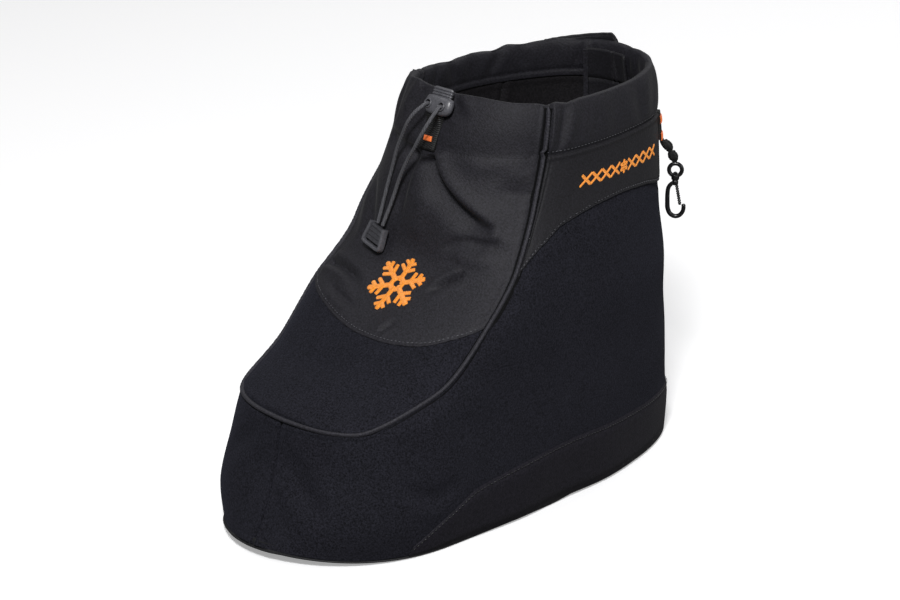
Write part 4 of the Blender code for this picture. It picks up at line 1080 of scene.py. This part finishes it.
def makeFootbed(material):
    # a padded insole: crowned top, rolled edge, and stitched channels across it
    _, toe, heel = halfWidth(np.zeros(1), footbed["level"], -footbed["inset"])
    y = (toe + heel) / 2 - (heel - toe) / 2 * np.cos(np.linspace(0, np.pi, 150)) * 0.9998
    half = np.maximum(halfWidth(y, footbed["level"], -footbed["inset"])[0], 0.001)
    s = np.linspace(-1, 1, 61)
    base = (footbed["floor"] + springRise(y, 0.02))[:, None]
    across = np.abs((y + 0.006) % footbed["channelPitch"] - footbed["channelPitch"] / 2)[:, None]
    channel = footbed["channel"] * bell(across, footbed["channelHalf"]) * (np.abs(s) < 0.86)
    rolled = footbed["thick"] * (0.35 + 0.65 * (1 - np.abs(s) ** 10) ** 0.5)
    top = base + rolled + footbed["crown"] * (1 - s ** 2) - channel
    x = np.concatenate([np.outer(half, s), np.outer(half * 0.97, np.linspace(1, -1, 15))], axis=1)
    z = np.concatenate([top, np.broadcast_to(base, (len(y), 15))], axis=1)
    rings = np.stack([x, np.broadcast_to(y[:, None], x.shape), z], axis=-1)
    piece = addTube("footbedPad", rings, material, smooth=60)
    wear(piece, "overshoe", "lining", "insole")


# stitches
stitch = {"pitch": 0.0030, "length": 0.0021, "radius": 0.00033, "sides": 6, "rings": 5, "inset": 0.0075}


def stitchPlaces(route, out):
    # centres, directions and normals of the stitches along a path
    path = evenPath(route, 400)
    run = lengthsAlong(shellPoint(path[:, 0], path[:, 1]))
    stops = np.arange(stitch["pitch"] / 2, run[-1], stitch["pitch"])
    angle, height = np.interp(stops, run, path[:, 0]), np.interp(stops, run, path[:, 1])
    centre, normals = onCloth(angle, height, out)
    return centre, unit(np.gradient(centre, axis=0)), normals


def makeStitches(name, material, rows):
    # every stitch is a small capsule: radius r cos(phi) round a line of the stitch's length
    centre, ahead, normals = (np.concatenate(part) for part in zip(*rows))
    side = np.cross(ahead, normals)
    phi = np.linspace(-np.pi / 2, np.pi / 2, stitch["rings"])
    lift = stitch["radius"] * np.maximum(np.cos(phi), 0.02)
    along = stitch["length"] / 2 * np.sin(phi)
    sag = -0.35 * stitch["radius"] * np.sin(phi) ** 2
    turn = ringTurn(stitch["sides"])
    points = (
        centre[:, None, None]
        + ahead[:, None, None] * along[None, :, None, None]
        + side[:, None, None] * (lift[:, None] * np.cos(turn))[None, :, :, None]
        + normals[:, None, None] * (lift[:, None] * np.sin(turn) + sag[:, None])[None, :, :, None]
    )
    size = stitch["rings"] * stitch["sides"]
    faces = repeatFaces(gridFaces(stitch["rings"], stitch["sides"], False, True), size, len(centre))
    uv = np.zeros((len(centre) * size, 2))
    wear(addPiece(name, points, faces, material, uv, smooth=80), "overshoe", "thread")


def makeSeamStitches(greyThread, blackThread):
    # grey rows above the lapped seams and round the casing, black ones on the band and the flap
    vamp, side, band = (np.array(seams[name]) for name in ("vamp", "side", "heelBand"))
    inset = (0, stitch["inset"])
    rows = [stitchPlaces(path + inset, 0.0005) for path in (vamp, side, mirrored(side))]
    rows.append(stitchPlaces(levelPath(0.8845, 68.5, 291.5, 40), 0.0003))
    makeStitches("seamStitches", greyThread, rows)
    start, end = flap["angles"][0] + 1.6, flap["angles"][1] - 1.6
    low, high = 0.36, 0.95
    rows = [stitchPlaces(path - inset, 0.0011) for path in (band, mirrored(band))]
    makeStitches("bandStitches", blackThread, rows + [stitchPlaces(path, 0.0012) for path in (
        [(start, low), (start, high)], [(end, low), (end, high)], [(start, low), (end, low)])])


# embroidery
snow = {
    "angle": 1.0, "height": 0.560, "arm": 0.0215, "armWidth": 0.0040, "branchWidth": 0.0031, "thick": 0.0009,
    # branches are (place, length) as shares of the arm, and lean from it in degrees
    "tilt": -4, "lean": 55, "branches": ((0.46, 0.36), (0.72, 0.26)), "start": 0.10, "core": 0.25,
}
sideRow = {
    "from": 93.5, "to": 133.0, "height": 0.797, "tall": 0.0037, "cells": 9, "thread": 0.0021,
    "thick": 0.0006, "snow": (0.0046, 0.0013, 0.0011),
}


def threadBars(name, material, bars, centreAngle, centreHeight, thick, tilt=0.0):
    # satin-stitched bars: each a strip from one point to another in metres beside the centre,
    # domed across as thick sqrt(1 - s^2), laid on the folded cloth
    around, rise = shellPoint(centreAngle + np.array([-1, 1]), centreHeight), np.array([-0.01, 0.01])
    perAngle = np.linalg.norm(around[1] - around[0]) / 2
    upright = shellPoint(centreAngle, centreHeight + rise)
    perHeight = np.linalg.norm(upright[1] - upright[0]) / 0.02
    along, across = 21, 9
    points, uvs = [], []
    s = np.linspace(-1, 1, across)[None]
    t = np.linspace(0, 1, along)[:, None]
    cos, sin = math.cos(math.radians(tilt)), math.sin(math.radians(tilt))
    for x0, y0, x1, y1, width in bars:
        direction = np.array([x1 - x0, y1 - y0])
        size = np.linalg.norm(direction)
        direction = direction / size
        taper = np.minimum(1, 3.2 * np.minimum(t, 1 - t) * size / width + 0.35) ** 0.5
        beside = s * width / 2 * taper
        flatX = x0 + t * size * direction[0] - beside * direction[1]
        flatY = y0 + t * size * direction[1] + beside * direction[0]
        x, y = flatX * cos - flatY * sin, flatX * sin + flatY * cos
        dome = thick * (1 - s ** 2 * 0.999) ** 0.5 * taper
        points.append(onCloth(centreAngle + x / perAngle, centreHeight + y / perHeight, dome - 0.0001)[0])
        uvs.append(np.stack(np.broadcast_arrays(s * width / 2, t * size), axis=-1))
    faces = repeatFaces(gridFaces(along, across), along * across, len(points))
    piece = addPiece(name, np.stack(points), faces, material, np.stack(uvs), smooth=70)
    thicken(piece, 0.0003)
    wear(piece, "overshoe", "thread")


def snowBars(reach, armWidth, branchWidth):
    # six arms with two pairs of branches each, and a small hexagon at the middle
    def spoke(turn):
        return np.array([math.cos(turn), math.sin(turn)])

    bars = []
    for k in range(6):
        turn = math.radians(60 * k + 30)
        out = spoke(turn) * reach
        bars.append((*(out * snow["start"]), *out, armWidth))
        for share, size in snow["branches"]:
            for side in (-1, 1):
                tip = out * share + spoke(turn + side * math.radians(snow["lean"])) * reach * size
                bars.append((*(out * share), *tip, branchWidth))
        after = spoke(turn + math.radians(60)) * reach
        bars.append((*(out * snow["core"]), *(after * snow["core"]), branchWidth))
    return bars


def makeEmbroidery(orange):
    threadBars("snowMotif", orange, snowBars(snow["arm"], snow["armWidth"], snow["branchWidth"]),
               snow["angle"], snow["height"], snow["thick"], snow["tilt"])
    # two crossing zigzags of thread with a small snow motif in the middle, on the outer side
    start, end, count, tall = sideRow["from"], sideRow["to"], sideRow["cells"], sideRow["tall"]
    path = shellPoint(np.linspace(start, end, 40), sideRow["height"])
    half = lengthsAlong(path)[-1] / count / 2
    bars = []
    for k in range(count):
        x = (2 * k - count + 1) * half
        if k == count // 2:
            bars += [(a + x, b, c + x, d, width) for a, b, c, d, width in snowBars(*sideRow["snow"])]
        else:
            bars += [(x - half, -rise, x + half, rise, sideRow["thread"]) for rise in (tall, -tall)]
    threadBars("sideMotif", orange, bars, (start + end) / 2, sideRow["height"], sideRow["thick"])


# cord lock, cords and clip
lock = {
    "origin": (0.00552, -0.02284, 0.25711), "up": (0.0, 0.438371, 0.898794), "width": 0.0236, "depth": 0.0086,
    "tall": 0.0118, "buttonTall": 0.0064, "holeSpacing": 0.0118, "holeRadius": 0.0022, "square": (0.80, 0.88),
    "eyeletRim": 0.0005, "eyeletRod": 0.00055, "ribs": 3, "ribPitch": 0.0018, "ribDepth": 0.0008,
}


def seatAt(across, up, origin):
    # the seat of a fitting: its X across, its Z up, its Y their cross, and where it stands
    matrix = Matrix((across, up.cross(across), up)).transposed().to_4x4()
    matrix.translation = Vector(origin)
    return np.array(matrix)


def seated(points, seat):
    # a fitting's own points, carried to its seat on the shoe
    return np.asarray(points) @ seat[:3, :3].T + seat[:3, 3]


def squared(wave, power):
    # sign(w) |w|^p, which squares a circle off
    return np.sign(wave) * np.abs(wave) ** power


def roundedRings(levels, sides, squareX, squareY):
    # superellipse rings: x = w sign(cos)|cos|^a, y = d sign(sin)|sin|^b, at rows of (z, w, d)
    turn = ringTurn(sides, 0.5)
    levels = np.asarray(levels, float)
    x = levels[:, 1:2] * squared(np.cos(turn), squareX)
    y = levels[:, 2:3] * squared(np.sin(turn), squareY)
    return np.stack([x, y, np.broadcast_to(levels[:, :1], x.shape)], axis=-1)


def ringRound(radius, seatY, middle, sides):
    # a circle in a fitting's XZ plane about middle, at seatY. radius and seatY may be rows.
    turn = ringTurn(sides)[:, None]
    x, y, z = np.broadcast_arrays(middle[0] + radius * np.cos(turn), seatY, middle[1] + radius * np.sin(turn))
    return np.stack([x, y, z], axis=-1)


def makeLock(plastic):
    # the body is a cup of rounded rings, listed as (level, inset of its width, inset of its depth),
    # bored through for the cords. The button is a ribbed block whose foot stands in the cup.
    seat = seatAt(Vector((1, 0, 0)), Vector(lock["up"]).normalized(), lock["origin"])
    half, deep, tall = lock["width"] / 2, lock["depth"] / 2, lock["tall"]
    insets = [
        (0.0, 6.8, 2.4), (0.3, 5.2, 1.5), (1.0, 3.4, 0.8), (2.2, 1.6, 0.3), (3.8, 0.5, 0), (5.8, 0, 0),
        (8.8, 0.2, 0), (10.4, 0.7, 0.2), (11.4, 1.2, 0.6), (11.8, 1.8, 1.0), (11.6, 2.4, 1.6),
        (2.6, 2.7, 1.9)]
    body = [(z / 1000, half - w / 1000, deep - d / 1000) for z, w, d in insets]
    shell = addTube("lockBody", seated(roundedRings(body, 48, *lock["square"]), seat), plastic, smooth=40)
    holes = {name: (side * lock["holeSpacing"] / 2, tall / 2) for name, side in (("Inner", -1), ("Outer", 1))}
    cutters = []
    for name, middle in holes.items():
        bore = [ringRound(lock["holeRadius"], y, middle, 24)[:, 0] for y in (-0.010, 0.010)]
        cutters.append(addTube("lockBore" + name, seated(bore, seat), plastic))
        cut = shell.modifiers.new("cordHole", "BOOLEAN")
        cut.operation, cut.solver, cut.object = "DIFFERENCE", "EXACT", cutters[-1]
    bpy.context.view_layer.update()
    shaped = bpy.data.meshes.new_from_object(shell.evaluated_get(bpy.context.evaluated_depsgraph_get()))
    shell.modifiers.clear()
    shell.data = shaped
    shaped.shade_smooth()
    shaped.set_sharp_from_angle(angle=math.radians(40))
    for cutter in cutters:
        bpy.data.objects.remove(cutter)
    wear(shell, "overshoe", "grey_plastic", "cord_lock_body")
    small, rod = ringTurn(10), lock["eyeletRod"]
    for name, middle in holes.items():
        radius = lock["holeRadius"] + lock["eyeletRim"] + rod * np.cos(small)
        ring = ringRound(radius, -deep - 0.0001 - rod * np.sin(small), middle, 28)
        eyelet = addGrid("lockEyelet" + name, seated(ring, seat), plastic, True, True)
        faceOut(eyelet)
        wear(eyelet, "overshoe", "grey_plastic")
    high = tall + lock["buttonTall"]
    rib = 1000 * lock["ribDepth"]
    insets = [(0.0061, 0.4), (0.0065, 0), (tall + 0.0004, 0)]
    for k in range(lock["ribs"]):
        base = tall + 0.0006 + lock["ribPitch"] * k
        insets += [(base + up, inset) for up, inset in (
            (0, rib), (0.0003, rib), (0.0005, 0.1), (0.0009, 0), (0.0013, 0.1))]
    insets += [(high - 0.0006, rib), (high - 0.0002, rib + 0.4), (high, rib + 1.2)]
    button = [(z, half - 0.0030 - inset / 1000, deep - 0.0022 - inset / 1000) for z, inset in insets]
    piece = addTube("lockButton", seated(roundedRings(button, 48, *lock["square"]), seat), plastic, smooth=40)
    wear(piece, "lock_button", "grey_plastic", "cord_lock_button")


# the cords' lines from inside the lock's holes down to the clip
routeInner = [
    (-0.0002, -0.0232, 0.2638), (0.0000, -0.0250, 0.2646), (-0.0012, -0.0290, 0.2624),
    (-0.0040, -0.0325, 0.2585), (-0.0088, -0.0340, 0.2515), (-0.0146, -0.0332, 0.2420),
    (-0.0208, -0.0322, 0.2310), (-0.0254, -0.0318, 0.2185), (-0.0288, -0.0326, 0.2069),
    (-0.0306, -0.0350, 0.1949), (-0.0313, -0.0376, 0.1859), (-0.0316, -0.0394, 0.1802)]
routeOuter = [
    (0.0114, -0.0232, 0.2638), (0.0114, -0.0250, 0.2646), (0.0111, -0.0296, 0.2602),
    (0.0094, -0.0338, 0.2540), (0.0050, -0.0359, 0.2454), (-0.0013, -0.0356, 0.2359),
    (-0.0093, -0.0349, 0.2249), (-0.0156, -0.0346, 0.2135), (-0.0196, -0.0349, 0.2036),
    (-0.0225, -0.0365, 0.1939), (-0.0248, -0.0386, 0.1855), (-0.0262, -0.0402, 0.1799)]
cords = {"diameter": 0.0025, "points": 34}


def addCord(name, route, material, node):
    # one smooth spline through the route with a round bevel
    path = smoothRoute(route, cords["points"])
    curve = bpy.data.curves.new(name, "CURVE")
    curve.dimensions = "3D"
    curve.bevel_depth = cords["diameter"] / 2
    curve.bevel_resolution = 4
    curve.use_fill_caps = True
    spline = curve.splines.new("POLY")
    spline.points.add(len(path) - 1)
    spline.points.foreach_set("co", np.concatenate([path, np.ones((len(path), 1))], axis=1).ravel())
    curve.materials.append(material)
    piece = bpy.data.objects.new(name, curve)
    bpy.context.scene.collection.objects.link(piece)
    wear(piece, "overshoe", "cord", node)


clip = {
    "centre": (-0.03112, -0.04226, 0.17172), "topWidth": 0.0170, "footWidth": 0.0215, "tall": 0.0155,
    "thick": 0.0048, "rail": 0.0024, "square": 0.55,
    "ribPitch": 0.0031, "ribRise": 0.00035, "insertThick": 0.0017,
    # its corners on the shoe in mm: top left and right, foot left and right
    "corners": [(-38.03, -40.93, 181.13), (-21.52, -43.81, 178.32),
                (-43.44, -44.86, 166.96), (-22.55, -48.5, 163.41)],
}


def clipSeat():
    # the clip's seat, from its corners: X across the top, Z up and square to it, Y into the shoe
    corner = np.array(clip["corners"])
    across = Vector(corner[1] - corner[0]).normalized()
    up = Vector(corner[0] + corner[1] - corner[2] - corner[3]).normalized()
    return seatAt(across, (up - up.dot(across) * across).normalized(), clip["centre"])


def makeClip(plastic, dark):
    # the frame is a rounded bar carried down one side, along the foot and up the other. The insert
    # is a slab with cross ribs on both faces.
    seat = clipSeat()
    top, foot, tall, rail = clip["topWidth"] / 2, clip["footWidth"] / 2, clip["tall"] / 2, clip["rail"]
    r = rail / 2
    side = [(top - r, tall), (top - r + 0.0006, tall * 0.4), (foot - r - 0.0004, -tall + 0.0028),
            (foot - r - 0.0022, -tall + r + 0.0001)]
    corners = [(-x, z) for x, z in side] + [(0, -tall + r)] + side[::-1]
    path = smoothRoute([(x, 0, z) for x, z in corners], 90)
    inward = np.cross(unit(np.gradient(path, axis=0)), (0, 1, 0))
    turn = ringTurn(16, 0.5)
    flat = squared(np.cos(turn), clip["square"])[None, :, None] * r
    deep = squared(np.sin(turn), clip["square"])[None, :, None] * clip["thick"] / 2
    rings = path[:, None] + inward[:, None] * flat + np.array([0, 1.0, 0]) * deep
    framePiece = addTube("clipFrame", seated(rings, seat), plastic, smooth=45)
    wear(framePiece, "overshoe", "grey_plastic", "cord_end_clip")
    z = np.linspace(-tall + 0.0040, tall - 0.0006, 44)
    wide = np.interp(z, [-tall, tall], [foot, top]) - rail - 0.0001
    ribs = clip["insertThick"] + clip["ribRise"] * np.sign(np.sin(tau * (z - z[0]) / clip["ribPitch"]))
    ribs[:2] = 0.0010, 0.0016
    ribs[-2:] = 0.0016, 0.0010
    rings = roundedRings(np.stack([z, wide, ribs], axis=1), 28, 0.30, 0.55)
    insert = addTube("clipInsert", seated(rings, seat), dark, smooth=30)
    wear(insert, "overshoe", "grey_plastic")
    return [framePiece, insert]


tab = {
    # angles of its left and right edge, and its height, at the foot and at the fold
    "left": (-5.6, -3.8), "right": (5.9, 7.6), "height": (0.866, 0.942), "thick": 0.0017, "fold": 0.0040,
    "tack": (1.0, 0.8925, 0.0068, 0.0032, 0.0026),
}


def makeTab(webbing, orange):
    # webbing from its sewn foot up to the fold under the lock, narrower at the foot:
    # thick + fold ((t - 0.62) / 0.38)^2 past t = 0.62, pressed down at the foot's edge
    t = np.linspace(0, 1, 46)[:, None]
    s = np.linspace(0, 1, 11)[None]
    ends = tab["left"], tab["right"], tab["height"]
    left, right, height = (foot + (fold - foot) * t for foot, fold in ends)
    angle = left + (right - left) * s
    rounded = 0.5 + 0.5 * (1 - np.abs(2 * s - 1) ** 8) ** 0.5
    thick = tab["thick"] + tab["fold"] * np.clip((t - 0.62) / 0.38, 0, 1) ** 2 - 0.0010 * bell(t, 0.03)
    bottom, _ = onCloth(angle, height, -0.0002)
    top, _ = onCloth(angle, height, thick * rounded + 0.0008)
    piece = addTube("lockTab", np.concatenate([top, bottom[:, ::-1]], axis=1), webbing, smooth=55)
    wear(piece, "overshoe", "webbing", "anchor_tab")
    tackAt("lockTabTack", orange, *tab["tack"], "anchor_bar_tack")


def tackAt(name, material, angle, height, width, tall, out, node):
    # a dense zigzag of thread: a pad with a wavy top, one wave for each pass of the needle
    perAngle = np.linalg.norm(shellPoint(angle + 1.0, height) - shellPoint(angle - 1.0, height)) / 2
    x, y = np.linspace(-1, 1, 61)[:, None], np.linspace(-1, 1, 17)[None]
    ragged = 1 + 0.03 * np.sin(np.pi * 8 * x)
    angles = angle + x * width / 2 / perAngle + 0 * y
    heights = height + ragged * y * tall / 2 / shoe["height"]
    dome = (1 - np.abs(x) ** 6) ** 0.5 * (1 - np.abs(y) ** 4) ** 0.5
    ridges = 0.86 + 0.14 * np.cos(np.pi * 8 * x)
    points, _ = onCloth(angles, heights, out + 0.0010 * dome * ridges)
    piece = addGrid(name, points, material, smooth=80)
    thicken(piece, 0.0006)
    wear(piece, "overshoe", "thread", node)


# hook at the back edge
hook = {
    "axis": (0.05636, 0.14843), "outward": (0.7659275531768799, 0.6429268717765808), "wallGap": 0.0082,
    "top": 0.1884, "eyeCentre": 0.1956, "eyeRadius": 0.0043, "rod": 0.0014, "spineRod": 0.0015,
    "gateRod": 0.00102, "gateCoil": 0.00022, "gateTurns": 9, "yarn": 0.0012, "yarnTurns": 11,
    "strapAngle": 143.0, "strapFrom": 0.802, "strapTo": 0.874, "strapWidth": 0.0082, "strapThick": 0.0022,
    "strapSunk": 0.0006, "tackSize": (0.0085, 0.0050, 0.0020), "upperTack": 0.855, "lowerTack": 0.812,
    # reach and level below the top, from the shoulder round to the nose
    "spine": [
        (0.0002, -0.0014), (-0.0024, -0.0026), (-0.0043, -0.0052), (-0.0049, -0.0090), (-0.0049, -0.0150),
        (-0.0046, -0.0196), (-0.0030, -0.0234), (0.0002, -0.0252), (0.0034, -0.0244), (0.0055, -0.0216),
        (0.0060, -0.0186), (0.0058, -0.0166)],
    # the knotted cord: reach from the wall, level and radius
    "cord": [
        (-0.0016, 0.2161, 0.0009), (-0.0008, 0.2154, 0.0019), (0.0008, 0.2142, 0.0030),
        (0.0024, 0.2124, 0.0034), (0.0038, 0.2103, 0.0026), (0.0046, 0.2090, 0.0015),
        (0.0054, 0.2074, 0.0026), (0.0064, 0.2051, 0.0034), (0.0073, 0.2031, 0.0024),
        (0.0079, 0.2019, 0.0010)],
    # turned round the swivel's axis, as (level, radius): the boss on the eye, the pin with its head
    "boss": [(0.1887, 0.0011), (0.1887, 0.0022), (0.1890, 0.0026), (0.1894, 0.0027), (0.1920, 0.0027),
             (0.1924, 0.0025), (0.1926, 0.0021), (0.1926, 0.0011)],
    "pin": [(0.1850, 0.0014), (0.1852, 0.0018), (0.1856, 0.0021), (0.1880, 0.0021), (0.1884, 0.0018),
            (0.1884, 0.00075), (0.1929, 0.00075), (0.1929, 0.0014), (0.1936, 0.0014), (0.1941, 0.0008)],
}


def turnedRings(levels, sides=28):
    # rings about the Z axis at rows of (level, radius)
    turn = ringTurn(sides)
    level, radius = np.asarray(levels, float).T[..., None]
    return np.stack(np.broadcast_arrays(radius * np.cos(turn), radius * np.sin(turn), level), axis=-1)


def makeHook(plastic, webbing, orange):
    # the eye is a torus, the boss and pin are turned, the spine and the coiled gate are swept rods
    outward, up = Vector((*hook["outward"], 0)), Vector((0, 0, 1))
    seat = seatAt(outward, up, (*hook["axis"], 0))
    small, rod, top = ringTurn(14), hook["rod"], hook["top"]
    ring = ringRound(hook["eyeRadius"] + rod * np.cos(small), rod * np.sin(small), (0, hook["eyeCentre"]), 48)
    eye = addGrid("eyeRing", seated(ring, seat), plastic, True, True)
    faceOut(eye)
    wear(eye, "overshoe", "black_plastic", "swivel_eye")
    boss = addGrid("eyeBoss", seated(turnedRings(hook["boss"]), seat), plastic, False, True)
    wear(boss, "overshoe", "black_plastic")
    pin = addTube("hookPin", seated(turnedRings(hook["pin"]), seat), plastic, smooth=40)
    wear(pin, "hook", "black_plastic", "snap_hook")
    path = smoothRoute([(x, 0, top + z) for x, z in hook["spine"]], 110)
    t = np.linspace(0, 1, 110)
    nose = np.clip((1.0 - t) / 0.03 + 0.55, 0, 1) ** 0.5
    radii = hook["spineRod"] * (1.08 - 0.16 * np.abs(2 * t - 1)) * nose
    spine = addTube("hookSpine", seated(sweep(path, radii, 16, (0, 1, 0)), seat), plastic)
    wear(spine, "hook", "black_plastic")
    t = np.linspace(0, 1, 90)
    gate = np.stack([0.0008 + 0.0027 * t, 0 * t, top - 0.0024 - 0.0146 * t], axis=1)
    coils = hook["gateRod"] + hook["gateCoil"] * np.sin(tau * t * hook["gateTurns"])
    gate = addTube("hookGate", seated(sweep(gate, coils, 14, (0, 1, 0)), seat), plastic)
    wear(gate, "hook", "black_plastic")
    makeHookCord(webbing, seat)
    route = np.linspace((hook["strapAngle"], hook["strapFrom"]), (hook["strapAngle"], hook["strapTo"]), 40)
    strap = stripOnShell("hookStrap", webbing, route, hook["strapWidth"], hook["strapThick"],
                         -hook["strapSunk"], slot="webbing")
    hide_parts("rear_webbing")
    for name in ("Upper", "Lower"):
        tackAt("hookTack" + name, orange, hook["strapAngle"], hook[name.lower() + "Tack"], *hook["tackSize"],
               "rear_bar_tack_" + name.lower())


def makeHookCord(webbing, seat):
    # a thin cord wound round its own line, which gives each knot its turns: the offset from the
    # line is the knot's radius less the cord's, and the turn grows with the run
    stops = np.array(hook["cord"])
    rows = np.linspace(0, 1, len(stops))
    t = np.linspace(0, 1, 620)
    reach, level, radius = (smoothCurve(rows, stops[:, k], t) for k in range(3))
    reach = reach - hook["wallGap"]
    wind = np.cumsum((radius / radius.max()) ** 2)
    wind = tau * hook["yarnTurns"] * wind / wind[-1]
    loose = np.maximum(radius - hook["yarn"], 0.0)
    wave = level + 0.0007 * np.sin(3 * wind)
    line = np.stack([reach + loose * np.cos(wind), loose * np.sin(wind), wave], axis=1)
    rings = sweep(line, hook["yarn"], 10, (0.3, 0.2, 0.93))
    knots = addTube("hookKnots", seated(rings, seat), webbing, smooth=70)
    wear(knots, "overshoe", "webbing", "hook_cord")
    # a plain core that closes the gaps between the turns
    middle, thin = np.stack([reach, 0 * t, level], axis=1)[::8], np.maximum(radius[::8] - 0.0011, 0.0006)
    core = addTube("hookCordCore", seated(sweep(middle, thin, 12, (0, 1, 0)), seat), webbing)
    wear(core, "overshoe", "webbing")


# put together
print("studio")
setStudio()
fleece = makeBrushedFleece()
softshell = makeSoftshell()
# a darker copy of the woven softshell for the quarters, the rear flap and the closure: painted shade for the
# sides and back
shadedSideSoftshell = makeSoftshell("shadedSideSoftshell", "#0f0e12", "#1d1c22")
bandSoftshell = makeSoftshell("bandSoftshell", "#121117", "#25232b", 0.16)
# a darker, less glossy copy of the woven softshell for the casing: painted shade that dims the key light's
# highlight on its rim
shadedCasingSoftshell = makeSoftshell("shadedCasingSoftshell", "#121116", "#24232a", 0.30)
# a near-black copy for the piping's flange: painted shade for the grooves beside the piping
shadeFlangeTape = makeSoftshell("shadeFlangeTape", "#050506", "#0c0c0e", 0.08)
# a lighter copy of the woven softshell for the piping cord: a painted highlight along its crest
highlitPipingCloth = makeSoftshell("highlitPipingCloth", "#201f24", "#38373f")
tricot = makeSoftshell("tricotLining", "#0f0e10", "#1f1d20", 0.18)
webbingBlack = makeWebbing()
braid = makeBraidedCord()
greyAcetal = makeMoulded("greyAcetal", "#47474b", "#5a5a60", 0.35)
darkAcetal = makeMoulded("darkAcetal", "#333337", "#434348", 0.5)
blackNylon = makeMoulded("blackNylon", "#0c0c0d", "#171719", 0.28)
# both orange threads glow a little: painted light, brighter than the lamps alone make them
orangeThread = makeThread("orangeThread", "#f07c1c", "#ffa83c", 0.0009, 0.22)
tackThread = makeThread("tackThread", "#ea5a1a", "#ff8a44", 0.0008, 0.22)
greyThread = makeThread("greyThread", "#343439", "#55555c", 0.0009)
blackThread = makeThread("blackThread", "#101013", "#1e1e22", 0.0009)
rubber = makeRubber()

print("upper")
makeUpper(fleece, softshell, shadedSideSoftshell)
makeCollar(shadedCasingSoftshell)
makeLining(tricot)
makePiping(highlitPipingCloth, shadeFlangeTape)
makeHeelBand(bandSoftshell)
makeRearFlap(shadedSideSoftshell)
makeClosureInside(shadedSideSoftshell, softshell)

print("sole and footbed")
makeSole(rubber)
makeFootbed(tricot)

print("stitches and embroidery")
makeSeamStitches(greyThread, blackThread)
makeEmbroidery(orangeThread)

print("cord lock and cords")
makeLock(greyAcetal)
clipPieces = makeClip(greyAcetal, darkAcetal)
addCord("drawcordInnerStrand", routeInner, braid, "drawcord_inner")
addCord("drawcordOuterStrand", routeOuter, braid, "drawcord_outer")
makeTab(webbingBlack, tackThread)

print("hook")
makeHook(blackNylon, webbingBlack, tackThread)

print("floor")
edge = studio["floorSize"]
ground = np.array([[(x, y, -studio["floorDrop"]) for y in (-edge, edge)] for x in (-edge, edge)], float)
floor = addPiece("floor", ground, gridFaces(2, 2), makeFloorPaper())
floor.visible_diffuse = False
floor.visible_glossy = False
